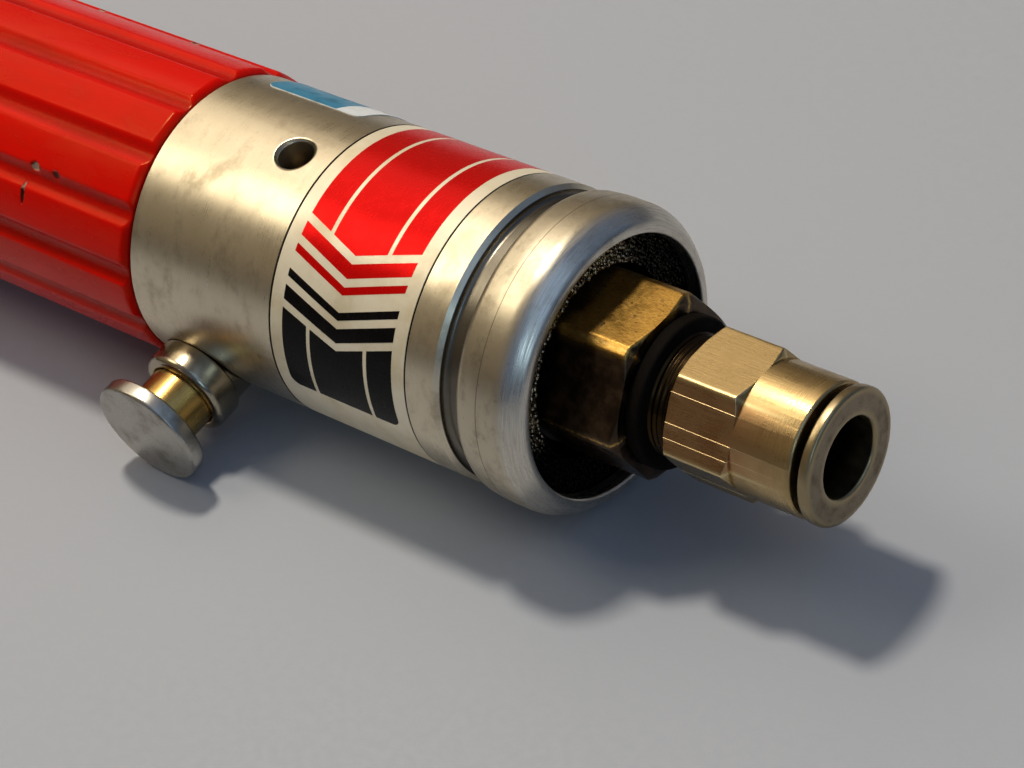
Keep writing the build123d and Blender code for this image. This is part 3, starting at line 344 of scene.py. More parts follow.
grip_rear, grip_front, grip_radius = extent("grip_sleeve")
grip_bore = extent("motor_case")[2] + SLIP
flute_pitch = math.tau / FLUTES
draw = random.Random(CHIP_SEED)
chips = [(grip_rear + x * MM, math.radians(turn), length * MM, width * MM, depth * MM)
         for x, turn, length, width, depth in LARGE_CHIPS]
for _ in range(SMALL_CHIPS):
    flute = FIRST_FLUTE + flute_pitch * draw.randrange(FLUTES)
    ridge = flute + draw.choice((-1, 1)) * FLUTE_WIDTH / 2 / grip_radius
    chips.append((draw.uniform(grip_rear + CHIP_FREE_END, grip_front - CHIP_FREE_END), ridge,
                  draw.uniform(0.4, 0.9) * MM, draw.uniform(0.3, 0.5) * MM, draw.uniform(0.12, 0.25) * MM))


def chip_at(x, turns):
    """Depth of the chips at points of the sleeve."""
    depth = np.zeros_like(turns)
    for chip_x, chip_turn, length, width, deepest in chips:
        across = np.angle(np.exp(1j * (turns - chip_turn))) * grip_radius
        inside = 1 - ((x - chip_x) / length) ** 2 - (across / width) ** 2
        depth = np.maximum(depth, deepest * np.sqrt(np.maximum(inside, 0)))
    return depth


def grip_skin(x, turns):
    """Radius of the sleeve's outside, where a round cutter has milled the flutes."""
    across = (np.mod(turns - FIRST_FLUTE + flute_pitch / 2, flute_pitch) - flute_pitch / 2) * grip_radius
    cutter = (FLUTE_WIDTH ** 2 / 4 + FLUTE_DEPTH ** 2) / (2 * FLUTE_DEPTH)
    milled = np.sqrt(np.maximum(cutter ** 2 - across ** 2, 0)) - (cutter - FLUTE_DEPTH)
    fluted = grip_radius + soft_least(-milled, 0, EDGE_SOFTNESS)
    bevelled = grip_radius - GRIP_BEVEL + min(x - grip_rear, grip_front - x)
    return soft_least(fluted, bevelled, EDGE_SOFTNESS) - chip_at(x, turns)


grip_turns = even_turns(FLUTES * COLUMNS_PER_FLUTE)
grip_rows = [np.linspace(grip_rear, grip_front, ROWS_ALONG)]
grip_rows += [grip_rear + ROWS_AT_ENDS, grip_front - ROWS_AT_ENDS]
grip_rows += [x + length * ROWS_OVER_CHIP for x, _, length, _, _ in chips]
grip_rings = [(x, grip_skin(x, grip_turns)) for x in sorted(set(np.concatenate(grip_rows)), reverse=True)]
grip_rings += [(grip_rear, grip_bore), (grip_front, grip_bore)]
grip = spun("grip_sleeve_skin", grip_rings, grip_turns)
grip_x, _, grip_out, grip_turned = places_of(grip)
carry(grip, chip=np.minimum(chip_at(grip_x, grip_turned) / BARED_DEPTH, 1),
      sunk=np.clip((grip_radius - grip_out) / FLUTE_DEPTH, 0, 1))

red = Finish("red_grip")
red.drive("Specular IOR Level", 0.2)
red.drive("Specular Tint", (1.0, 0.62, 0.16, 1))
haze = red.grain((14, 5, 5), 5.0, 0.6)
specks = red.grain((0.5, 0.25, 0.25))
hairlines = red.grain((6, 0.09, 0.09), 2.0)
clear_red = red.tint(red.step(haze, 0.40, 0.72), (214, 7, 2), (194, 6, 3))
rubbed = red.both(red.step(red.mask("sunk"), 0.2, 0.0), red.step(haze, 0.48, 0.74, 0.0, 0.5))
worn_red = red.tint(rubbed, clear_red, (224, 36, 14))
# The flutes are coloured darker red towards their floor, in specks.
flute_darkening = red.both(red.step(red.mask("sunk"), 0.3, 1.0), red.step(specks, 0.2, 0.8, 0.28, 0.52))
flute_darkened_red = red.tint(flute_darkening, worn_red, (112, 3, 1))
fractured = red.grain((1.1, 0.8, 0.8), 1.0)
bare_chip = red.tint(red.step(fractured, 0.5, 0.6), (66, 12, 10), (172, 140, 116))
red.drive("Base Color", red.tint(red.mask("chip"), flute_darkened_red, bare_chip))
gloss = red.step(haze, 0.3, 0.8, 0.2, 0.34)
red.drive("Roughness", red.calc("ADD", gloss, red.step(hairlines, 0.62, 0.8, 0.0, 0.16)))
red.emboss(hairlines, 0.003, red.emboss(specks, 0.006))
fit(grip, red, "grip_sleeve")

# Clutch housing: a plain aluminium barrel between grip and nose, turned from bar and clear anodised.
# Its edges are eased, and its rear spigot is screwed into the motor case.
TURNED = even_turns(192)
ARC_STEPS = 5
EDGE = 0.35 * MM
CLUTCH_WALL = 2.0 * MM
SPIGOT_WALL = 1.0 * MM


def eased(*corners):
    """Outline from corners of (x, radius), or (x, radius, fillet) for one that is turned into an arc."""
    outline = []
    for number, (x, radius, *fillet) in enumerate(corners):
        corner = Vector((x, radius))
        if not fillet:
            outline.append(tuple(corner))
            continue
        before = (Vector(corners[number - 1][:2]) - corner).normalized()
        after = (Vector(corners[(number + 1) % len(corners)][:2]) - corner).normalized()
        half = before.angle(after) / 2
        middle = corner + (before + after).normalized() * fillet[0] / math.sin(half)
        start = corner + before * fillet[0] / math.tan(half) - middle
        end = corner + after * fillet[0] / math.tan(half) - middle
        swing = start.angle_signed(end)
        for step in range(ARC_STEPS + 1):
            outline.append(tuple(middle + Matrix.Rotation(-swing * step / ARC_STEPS, 2) @ start))
    return outline


clutch_rear, clutch_front, clutch_radius = extent("clutch_housing")
spigot_radius = extent("ring_gear")[2]
clutch_bore = clutch_radius - CLUTCH_WALL
clutch_barrel = spun("clutch_barrel", eased(
    (clutch_front, clutch_radius, EDGE), (grip_front, clutch_radius, EDGE), (grip_front, spigot_radius),
    (clutch_rear, spigot_radius, EDGE), (clutch_rear, spigot_radius - SPIGOT_WALL),
    (clutch_front, clutch_bore)), TURNED)
anodised = machined("clutch_aluminium", (195, 189, 177), (165, 158, 145), 0.34, (0.05, 9, 9), 0.003)
fit(clutch_barrel, anodised, "clutch_housing")

# Nose: a tapered aluminium piece that is screwed into the clutch housing and carries the front bush.
# It is turned with the barrel and anodised alike, with a blended shoulder where the taper opens.
NOSE_TIP = 9.0 * MM
NOSE_TIP_FILLET = 0.6 * MM
SHOULDER_STEP = 1.5 * MM
SHOULDER_BACK = 11.0 * MM
SHOULDER_BLEND = 5.0 * MM
NOSE_WALL = 1.5 * MM
SPINDLE_WAY = 5.5 * MM
SPINDLE_WAY_FILLET = 0.3 * MM
nose_rear = clutch_front
nose_spigot, nose_front, _ = extent("nose_piece")
nose_seat = clutch_bore - SLIP
nose_hollow = clutch_bore - NOSE_WALL
bush_rear, bush_front, bush_radius = extent("nose_bush")
bush_radius += SLIP
nose = spun("nose_cone", eased(
    (nose_front, NOSE_TIP, NOSE_TIP_FILLET),
    (nose_front - SHOULDER_BACK, NOSE_TIP + SHOULDER_STEP, SHOULDER_BLEND),
    (nose_rear, clutch_radius, EDGE), (nose_rear, nose_seat), (nose_spigot, nose_seat, EDGE),
    (nose_spigot, nose_hollow), (nose_rear, nose_hollow), (nose_rear, SPINDLE_WAY),
    (bush_rear, SPINDLE_WAY), (bush_rear, bush_radius), (bush_front, bush_radius),
    (bush_front, SPINDLE_WAY), (nose_front, SPINDLE_WAY, SPINDLE_WAY_FILLET)), TURNED)
fit(nose, anodised, "nose_piece")

# Quick-change sleeve and bit: the sleeve is turned in steel, grooved for the fingers and blackened.
# The bit is a hardened hexagon bar with a cross point, and it snaps into the holder behind the sleeve.
blackened = machined("chuck_steel", (62, 62, 66), (88, 84, 80), 0.36, (0.04, 6, 6), cloud=5.0)
hardened = machined("bit_steel", (138, 138, 142), (96, 92, 88), 0.32, (5, 0.08, 0.08), 0.005, 4.0)
coat("chuck_sleeve", blackened)
coat("screwdriver_bit", hardened)

# Rear housing: turned aluminium, screwed to the motor case, with a tommy-bar hole, a recess for the label
# and a groove before the end ring. Handling has stained it. Dirt and painted shade darken the recess floor,
# which shows in the gaps along the label's edges.
DIRT_AND_SHADE_EDGE = 0.02 * MM
RIM_INSIDE = 0.1 * MM
RIM_OUTSIDE = 0.45 * MM
HOLE_SHADE = 1.2 * MM
HOLE_FLOOR = 4.0 * MM
GROOVE_WIDTH = 2.35 * MM
GROOVE_SHOULDER = 0.05 * MM
GROOVE_DEPTH = 0.4 * MM
housing_rear, _, housing_radius = extent("rear_housing")
label_rear, label_front, label_out = extent("label_band")
label_middle = (label_front + label_rear) / 2
half_label = (label_front - label_rear) / 2
metal = Finish("turned_aluminium", metallic=1.0)
x, y, z = metal.axes()
out = metal.span(y, z)
marks = metal.lathe_grain(0.06, 9)
smudges = metal.grain((3.5, 5, 5), 6.0, 0.66)
scuffs = metal.grain((3.0, 0.5, 0.5), 4.0, 0.6)
pits = metal.grain(0.35, 2.0)
stained = metal.tint(metal.step(smudges, 0.48, 0.72, 0.0, 0.75), (216, 204, 180), (163, 149, 125))
scuffed = metal.tint(metal.step(scuffs, 0.62, 0.86, 0.0, 0.22), stained, (150, 137, 116))
spotted = metal.tint(metal.step(pits, 0.7, 0.8, 0.0, 0.4), scuffed, (112, 96, 72))
# Dirt and painted shade: the recess floor under the label is near black, seen as lines in the gaps at its
# edges.
from_middle = metal.calc("ABSOLUTE", metal.calc("SUBTRACT", x, label_middle))
recess_dirt_and_shade = metal.step(from_middle, half_label + DIRT_AND_SHADE_EDGE, half_label - DIRT_AND_SHADE_EDGE)
dirt_and_shade_tinted = metal.tint(recess_dirt_and_shade, spotted, (42, 34, 26))
# The groove before the end ring is coloured darker grey towards its floor.
before_ring = metal.calc("LESS_THAN", x, extent("end_ring")[1] + GROOVE_WIDTH)
sunk = metal.step(out, housing_radius - GROOVE_SHOULDER, housing_radius - GROOVE_DEPTH, 0.0, 0.9)
groove_darkened = metal.tint(metal.both(before_ring, sunk), dirt_and_shade_tinted, (96, 92, 85))
tommy = next(mount for mount in frame["record"]["mounts"] if mount["name"] == "tommy_hole")
hole_radius = tommy["dims"]["r_mm"] * MM
along = metal.calc("SUBTRACT", x, tommy["pos_m"][0])
across = metal.calc("SUBTRACT", metal.calc("MULTIPLY", y, tommy["axis"][2]),
                    metal.calc("MULTIPLY", z, tommy["axis"][1]))
from_hole = metal.span(along, across)
# Wear and painted highlight: the hole's rim is lighter and rounded by a bump, on the upper half only.
beyond_rim = metal.step(from_hole, hole_radius - RIM_INSIDE, hole_radius + RIM_OUTSIDE)
rim_height = metal.calc("MAXIMUM", beyond_rim, metal.calc("LESS_THAN", z, 0.0))
rim_wear_and_highlight = metal.tint(rim_height, (236, 226, 202), groove_darkened)
# Painted shade: the tommy-bar hole turns dark brown with depth below the surface.
deep = metal.step(out, housing_radius - HOLE_SHADE, housing_radius - HOLE_FLOOR)
hole_painted_shade = metal.both(deep, metal.calc("GREATER_THAN", x, label_front))
metal.drive("Base Color", metal.tint(hole_painted_shade, rim_wear_and_highlight, (108, 96, 78)))
dull = metal.step(smudges, 0.3, 0.75, 0.27, 0.37)
metal.drive("Roughness", metal.calc("ADD", dull, metal.step(marks, 0.3, 0.8, -0.02, 0.05)))
metal.emboss(rim_height, 0.22, metal.emboss(pits, 0.003, metal.emboss(marks, 0.002)))
coat("rear_housing", metal)

# Label: a champagne foil band glued into the recess, printed in red and near black, with bare foil between.
# The red field runs over the top and breaks up into chevrons towards the dark field by the button's side.
FOIL_THICK = 0.1 * MM
INK_THICK = 0.02 * MM
BAND_GAP = 0.24 * MM
FOIL_SEAM = math.radians(214)
SEAM_GAP = 0.004
PRINT_STEP = math.radians(1.5)
PRINT_MARGIN = 1.9 * MM
CHEVRON_POINT = math.radians(9)
CORNER = 1.1 * MM
PINSTRIPE = 0.5 * MM
PINSTRIPE_PLACE = 0.52


def wrapped(name, patches, inner, outer):
    """Thin plates bent round the tool. Each has rows of x, and the turns where each row starts and ends."""
    points = []
    faces = []
    for rows, starts, ends in patches:
        columns = 2 + int(np.max(ends - starts) / PRINT_STEP)
        turns = starts[:, None] + (ends - starts)[:, None] * np.linspace(0, 1, columns)
        first = sum(len(sheet) for sheet in points)
        top = first + np.arange(turns.size).reshape(turns.shape)
        under = top + turns.size
        points += [round_axis(rows[:, None], radius, turns).reshape(-1, 3) for radius in (outer, inner)]
        for sheet in (top, under):
            faces.append(np.stack([sheet[:-1, :-1], sheet[1:, :-1], sheet[1:, 1:], sheet[:-1, 1:]], axis=-1))
        rim = np.concatenate([top[0, :-1], top[:-1, -1], top[-1, :0:-1], top[:0:-1, 0]])
        onward = np.roll(rim, -1)
        faces.append(np.stack([rim, onward, onward + turns.size, rim + turns.size], axis=-1))
    return meshed(name, np.concatenate(points), np.concatenate([sheet.reshape(-1, 4) for sheet in faces]))


def rows_between(front, rear):
    """Rows along x, closer together near both ends, where corners are rounded."""
    near = CORNER * (1 - np.cos(np.linspace(0, math.pi / 2, 7)))
    return np.unique(np.concatenate([front - near, rear + near, np.linspace(rear, front, 9)]))


def corner_cut(rows):
    """How far a rounded corner draws the end of each row back."""
    inside = np.minimum(rows - rows.min(), rows.max() - rows)
    return CORNER - np.sqrt(CORNER ** 2 - np.maximum(CORNER - inside, 0) ** 2)


print_in = label_out - INK_THICK
print_rows = rows_between(label_front - PRINT_MARGIN, label_rear + PRINT_MARGIN)
half_print = (print_rows.max() - print_rows.min()) / 2
point = CHEVRON_POINT * (1 - np.abs(print_rows - label_middle) / half_print)
squared = corner_cut(print_rows) / housing_radius


def chevron(start, end):
    """Bar across the print, pointed round the tool, between two turns in degrees."""
    return print_rows, math.radians(start) + point, math.radians(end) + point


def lanes(start, end):
    """A field of the print, between the turns where each row starts and ends, with two bare pinstripes."""
    split = half_print * PINSTRIPE_PLACE
    for low, high in ((-half_print, -split), (-split, split), (split, half_print)):
        low += PINSTRIPE / 2 if low > -half_print else 0
        high -= PINSTRIPE / 2 if high < half_print else 0
        rows = np.unique(np.concatenate([print_rows - label_middle, [low, high]]))
        rows = rows[(rows >= low) & (rows <= high)] + label_middle
        yield rows, np.interp(rows, print_rows, start), np.interp(rows, print_rows, end)


band_rows = np.linspace(label_rear + BAND_GAP, label_front - BAND_GAP, 5)
foil_start = np.full_like(band_rows, FOIL_SEAM - math.tau + SEAM_GAP)
foil_end = np.full_like(band_rows, FOIL_SEAM - SEAM_GAP)
label_foil = wrapped("label_foil_band", [(band_rows, foil_start, foil_end)], label_out - FOIL_THICK, print_in)
red_field = lanes(math.radians(-64) + squared, math.radians(28) + point)
dark_field = lanes(math.radians(64.4) + point, math.radians(98) - squared)
red_patches = [*red_field, chevron(31.3, 36.8), chevron(40.0, 43.0)]
dark_patches = [chevron(49.5, 52.5), chevron(55.7, 61.2), *dark_field]
label_red = wrapped("label_red_print", red_patches, print_in, label_out)
label_dark = wrapped("label_dark_print", dark_patches, print_in, label_out)

foil = Finish("label_foil", metallic=0.25)
foil_age = foil.grain(6, 5.0, 0.6)
foil_rubs = foil.grain((0.12, 3, 3))
aged = foil.tint(foil.step(foil_age, 0.4, 0.75), (244, 231, 202), (220, 203, 166))
foil.drive("Base Color", foil.tint(foil.step(foil_rubs, 0.68, 0.82, 0.0, 0.45), aged, (150, 132, 100)))
foil.drive("Roughness", foil.step(foil_age, 0.3, 0.8, 0.3, 0.46))
foil.emboss(foil_rubs, 0.003)
fit(label_foil, foil, "label_band")
for sheet, name, colour, worn, glint in (
        (label_red, "label_red_ink", (214, 8, 7), (194, 12, 10), 0.45),
        (label_dark, "label_dark_ink", (13, 11, 11), (34, 30, 28), 0.0)):
    ink = Finish(name, metallic=glint)
    ink.drive("Specular IOR Level", 0.09)
    rubs = ink.grain((0.1, 2.5, 2.5))
    wear = ink.grain(1.6, 5.0, 0.65)
    ink.drive("Base Color", ink.tint(ink.step(wear, 0.5, 0.9, 0.0, 0.5), colour, worn))
    gloss = ink.step(wear, 0.3, 0.8, 0.24, 0.32)
    ink.drive("Roughness", ink.calc("ADD", gloss, ink.step(rubs, 0.6, 0.8, 0.0, 0.15)))
    ink.emboss(rubs, 0.002)
    fit(sheet, ink, "label_band")

# Service sticker: a strip of white plastic film with a blue field, stuck on by the tommy-bar hole.
# Its corners are rounded and it has picked up dirt in patches.
STICKER_THICK = 0.1 * MM
STICKER_START = math.radians(-66)
STICKER_END = math.radians(-23.5)
WHITE_END = 2.9 * MM
WHITE_RIM = 0.08 * MM
sticker_rear, sticker_front, _ = extent("service_sticker")
sticker_out = housing_radius + STICKER_THICK
sticker_rows = rows_between(sticker_front, sticker_rear)
sticker_cut = corner_cut(sticker_rows) / housing_radius
blue = sticker_rows > sticker_rear + WHITE_END
blue_cut = sticker_cut[blue] + WHITE_RIM / housing_radius
white_patch = sticker_rows, STICKER_START + sticker_cut, STICKER_END - sticker_cut
blue_patch = sticker_rows[blue], STICKER_START + blue_cut, STICKER_END - blue_cut
sticker_film = wrapped("sticker_white_film", [white_patch], housing_radius, sticker_out - INK_THICK)
sticker_blue = wrapped("sticker_blue_print", [blue_patch], sticker_out - INK_THICK, sticker_out)
for sheet, colour, dirt in ((sticker_film, (222, 226, 226), (170, 168, 156)),
                            (sticker_blue, (34, 122, 156), (28, 92, 116))):
    film = Finish(sheet.name + "_finish")
    soil = film.grain(2.2, 5.0, 0.62)
    film.drive("Base Color", film.tint(film.step(soil, 0.5, 0.8), colour, dirt))
    film.drive("Roughness", film.step(soil, 0.3, 0.8, 0.28, 0.5))
    film.emboss(soil, 0.01)
    fit(sheet, film, "service_sticker")

# Reverse button: a steel boss screwed into the housing guides a brass stem with a turned steel head on it.
# The head's face is slightly crowned, its rims are rounded over, and fingers have polished both.
BUTTON_TURNS = even_turns(128)
HEAD_CROWN = 0.12 * MM
HEAD_RIM = 0.5 * MM
HEAD_FILLETS = 0.4 * MM, 0.3 * MM
COLLAR_LENGTH = 3.6 * MM
COLLAR_STEP = 0.6 * MM
COLLAR_FILLETS = 0.8 * MM, 0.6 * MM
STEM_WAY = 3.95 * MM
STEM_WAY_FILLET = 0.25 * MM
BRUSHED = (3, 0.4, 0.4)
joints = {joint["name"]: joint for joint in frame["record"]["behaviour"]["joints"]}
button_out = -Vector(joints["reverse_button_press"]["axis"]).normalized()
button_side = button_out.cross(Vector((1, 0, 0))).normalized()
button_centre = sum(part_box("button_head"), Vector()) / 2
button_place = Matrix((button_out, button_side, button_out.cross(button_side))).transposed().to_4x4()
button_place.translation = button_centre


def reach(node):
    """Where a piece of the button starts and ends, from the middle of its head outwards, and its radius."""
    rear, front, _ = extent(node)
    along = [(point.co - button_centre).dot(button_out) for point in frame["nodes"][node].data.vertices]
    return min(along), max(along), (front - rear) / 2


head_back, head_face, head_radius = reach("button_head")
face_radius = head_radius - HEAD_RIM
crown = [(head_face - HEAD_CROWN * share ** 2, face_radius * share) for share in np.linspace(0, 0.96, 7)]
button_cap = spun("button_cap", crown + eased(
    (head_face - HEAD_CROWN, head_radius, HEAD_FILLETS[0]), (head_back, head_radius, HEAD_FILLETS[1]),
    (head_back, 0), (head_face, 0))[:-1], BUTTON_TURNS, button_place)
guide_back, guide_face, guide_radius = reach("button_guide")
collar_back = guide_face - COLLAR_LENGTH
sunk_radius = guide_radius - COLLAR_STEP
button_boss = spun("button_boss", eased(
    (guide_face, guide_radius, COLLAR_FILLETS[0]), (collar_back, guide_radius, COLLAR_FILLETS[1]),
    (collar_back, sunk_radius), (guide_back, sunk_radius), (guide_back, STEM_WAY),
    (guide_face, STEM_WAY, STEM_WAY_FILLET)), BUTTON_TURNS, button_place)
button_steel = machined("button_steel", (176, 172, 164), (138, 130, 116), 0.3, BRUSHED, 0.006, 3.0)
fit(button_cap, button_steel, "button_head", "reverse_button")
boss_steel = machined("boss_steel", (174, 163, 142), (108, 96, 78), 0.22, BRUSHED, 0.005, 3.0)
fit(button_boss, boss_steel, "button_guide")

# Return springs: open coils of drawn steel wire that push the chuck sleeve, start valve and button back.
# Each sits on a fixed seat and is built at one length; in the tool it closes up with the stroke of the piece
# at its other end.
SPRING_TURNS = 5
STEPS_PER_TURN = 40
WIRE_SIDES = 12


def coiled(name, seat, run, length, radius, wire):
    """Open coil of round wire that stands on its seat and runs along a direction."""
    turned = np.linspace(0, math.tau * SPRING_TURNS, SPRING_TURNS * STEPS_PER_TURN + 1)
    line = round_axis(np.linspace(wire, length - wire, len(turned)), radius - wire, turned)
    outwards = round_axis(0, 1, turned)
    sideways = np.cross(np.gradient(line, axis=0), outwards)
    sideways /= np.linalg.norm(sideways, axis=1, keepdims=True)
    bend = even_turns(WIRE_SIDES)[:, None, None]
    rings = np.swapaxes(line + wire * (np.cos(bend) * outwards + np.sin(bend) * sideways), 0, 1)
    ends = np.broadcast_to(line[[0, -1], None], (2, WIRE_SIDES, 3))
    rings = np.concatenate([ends[:1], rings, ends[1:]])
    here = np.arange(len(rings) * WIRE_SIDES).reshape(-1, WIRE_SIDES)
    onward = np.roll(here, -1, axis=1)
    faces = np.stack([here[:-1], onward[:-1], onward[1:], here[1:]], axis=-1)
    place = run.to_track_quat("X", "Z").to_matrix().to_4x4()
    place.translation = seat
    return meshed(name, rings.reshape(-1, 3), faces.reshape(-1, 4), place)


forward = Vector((1, 0, 0))
sleeve_seat = Vector((extent("chuck_spring")[1], 0, 0))
valve_seat = Vector((extent("valve_spring")[0], 0, 0))
button_seat = button_centre + button_out * reach("button_spring")[0]
for node, body, joint, seat, run, wire in (
        ("chuck_spring", "spindle", "chuck_sleeve_slide", sleeve_seat, -forward, 0.45 * MM),
        ("valve_spring", "tool_body", "push_rod_slide", valve_seat, forward, 0.45 * MM),
        ("button_spring", "tool_body", "reverse_button_press", button_seat, button_out, 0.35 * MM)):
    from_seat = [point.co - seat for point in frame["nodes"][node].data.vertices]
    length = max(point.dot(run) for point in from_seat)
    radius = max((point - run * point.dot(run)).length for point in from_seat)
    spring = coiled(node + "_coil", seat, run, length, radius, wire)
    fit(spring, INSIDE["spring_steel"], node, body)
    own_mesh(spring)
    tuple(run)
    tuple(seat)

# Exhaust silencer: bronze beads sintered into a ring in the exhaust mouth that lets the spent air through.
# Oil mist has darkened the beads, and clean spots on them still glint.
# Beads low in the mouth and towards -Y are painted near black as shade, without glints.
BEAD_RADIUS = 0.28 * MM
BEAD_PITCH = 0.52 * MM
BEAD_SEED = 11
SILENCER_HOLE = 10.3 * MM
UNSHADED_Y = -9 * MM, -3 * MM
UNSHADED_Z = -4 * MM, 1 * MM


def ball(radius, sides, steps):
    """Points and faces of a ball with so many sides round it, and so many steps from its top to its foot."""
    tilts = np.arange(1, steps)[:, None] * math.pi / steps
    rings = round_axis(radius * np.cos(tilts), radius * np.sin(tilts), even_turns(sides)).reshape(-1, 3)
    lying = np.concatenate([rings, [(radius, 0, 0), (-radius, 0, 0)]])
    upright = lying[:, [1, 2, 0]]
    here = np.arange(len(rings)).reshape(-1, sides)
    beside = np.roll(here, -1, axis=1)
    top, foot = np.full((2, sides), [[len(rings)], [len(rings) + 1]])
    faces = np.stack([here[:-1], beside[:-1], beside[1:], here[1:]], axis=-1).reshape(-1, 4).tolist()
    faces += np.stack([top, beside[0], here[0]], axis=-1).tolist()
    faces += np.stack([foot, here[-1], beside[-1]], axis=-1).tolist()
    return upright, faces


silencer_rear, silencer_front, silencer_radius = extent("exhaust_silencer")
bead_floor = silencer_rear + BEAD_RADIUS * 1.3
base = spun("silencer_base", [
    (silencer_front, silencer_radius), (bead_floor, silencer_radius), (bead_floor, SILENCER_HOLE),
    (silencer_front, SILENCER_HOLE)], TURNED)
draw = random.Random(BEAD_SEED)
ball_points, ball_faces = ball(BEAD_RADIUS, sides=8, steps=5)
bead_points = []
bead_faces = []
row_radius = SILENCER_HOLE + BEAD_RADIUS
while row_radius < silencer_radius - BEAD_RADIUS:
    for turn in even_turns(int(math.tau * row_radius / BEAD_PITCH)):
        turn += draw.uniform(-0.35, 0.35) * BEAD_PITCH / row_radius
        radius = row_radius + draw.uniform(-0.3, 0.3) * BEAD_PITCH
        sunk = bead_floor + draw.uniform(-0.25, 0.25) * BEAD_RADIUS
        first = len(bead_points) * len(ball_points)
        bead_points.append(ball_points + round_axis(sunk, radius, turn))
        bead_faces += [[first + corner for corner in face] for face in ball_faces]
    row_radius += BEAD_PITCH * 0.9
bead_mesh = bpy.data.meshes.new("silencer_beads")
bead_mesh.from_pydata(np.concatenate(bead_points).tolist(), [], bead_faces)
bead_mesh.shade_smooth()
beads = placed("silencer_beads", bead_mesh)
bronze = Finish("sintered_bronze", metallic=1.0)
_, y, z = bronze.axes()
soot = bronze.grain(0.9, 4.0, 0.6)
glint = bronze.grain(0.3, 1.0)
sooty = bronze.tint(bronze.step(soot, 0.36, 0.7), (24, 16, 11), (56, 38, 24))
# Painted shade: beads low in the mouth and towards -Y turn near black and lose their clean spots.
unshaded = bronze.both(bronze.step(y, *UNSHADED_Y, 0.05), bronze.step(z, *UNSHADED_Z))
shade_painted_beads = bronze.tint(unshaded, (11, 8, 6), sooty)
glints_where_unshaded = bronze.both(bronze.step(glint, 0.44, 0.6), unshaded)
bronze.drive("Base Color", bronze.tint(glints_where_unshaded, shade_painted_beads, (206, 186, 150)))
bronze.drive("Roughness", bronze.step(glint, 0.4, 0.7, 0.45, 0.24))
bronze.emboss(soot, 0.01)
for piece in (base, beads):
    fit(piece, bronze, "exhaust_silencer")

# End ring: spun from aluminium and rolled over the housing's end, so that its lip holds the silencer in.
# The front half keeps its turned skin and a scribed line, and the lip is burnished and scratched by handling.
RING_BORE = 14.82 * MM
RING_WALL = 1.45 * MM
MOUTH = 13.9 * MM
LIP_WIDTH = 1.0 * MM
LIP_GAP = 0.1 * MM
CROWN_BACK = 2.6 * MM
CROWN_LENGTH = 3.3 * MM
SCRIBE_BACK = 3.1 * MM
SCRIBE_EDGES = 0.07 * MM, 0.03 * MM
FRONT_FILLET = 1.0 * MM
CROWN_BLENDS = 8.0 * MM, 3.2 * MM
LIP_FILLETS = 1.3 * MM, 0.3 * MM
ring_rear, ring_front, ring_radius = extent("end_ring")
lip_front = silencer_rear - LIP_GAP
crown_front = ring_front - CROWN_BACK
crown_rear = crown_front - CROWN_LENGTH
end_ring = spun("rolled_end_ring", eased(
    (ring_front, RING_BORE + RING_WALL, FRONT_FILLET), (crown_front, ring_radius, CROWN_BLENDS[0]),
    (crown_rear, ring_radius, CROWN_BLENDS[1]), (ring_rear, MOUTH + LIP_WIDTH, LIP_FILLETS[0]),
    (ring_rear, MOUTH, LIP_FILLETS[1]), (lip_front, MOUTH), (lip_front, RING_BORE),
    (ring_front, RING_BORE)), TURNED)
rolled = Finish("rolled_ring", metallic=1.0)
x = rolled.axes()[0]
turned_marks = rolled.lathe_grain(0.07, 9)
clouds = rolled.grain((2.2, 3, 3), 6.0, 0.68)
scratches = rolled.lathe_grain(0.2, 3, 5.0)
nicks = rolled.grain(0.45, 2.0)
lip_share = rolled.step(x, crown_rear + 0.5 * MM, crown_rear - 0.2 * MM)
skin = rolled.tint(rolled.step(clouds, 0.46, 0.74, 0.0, 0.7), (199, 188, 166), (140, 126, 105))
burnished = rolled.tint(rolled.step(scratches, 0.45, 0.8), (210, 203, 190), (186, 178, 164))
soiled = rolled.tint(rolled.step(clouds, 0.5, 0.78, 0.0, 0.5), burnished, (150, 138, 116))
bare = rolled.tint(lip_share, skin, soiled)
nicked = rolled.tint(rolled.step(nicks, 0.68, 0.8, 0.0, 0.5), bare, (112, 96, 72))
from_scribe = rolled.calc("ABSOLUTE", rolled.calc("SUBTRACT", x, ring_front - SCRIBE_BACK))
scribed = rolled.step(from_scribe, *SCRIBE_EDGES, 0.0, 0.65)
rolled.drive("Base Color", rolled.tint(scribed, nicked, (80, 68, 50)))
skin_polish = rolled.step(clouds, 0.3, 0.75, 0.3, 0.44)
lip_polish = rolled.step(scratches, 0.35, 0.75, 0.26, 0.44)
rolled.drive("Roughness", rolled.between(lip_share, skin_polish, lip_polish))
rolled.emboss(nicks, 0.006, rolled.emboss(scratches, 0.002, rolled.emboss(turned_marks, 0.003)))
fit(end_ring, rolled, "end_ring")

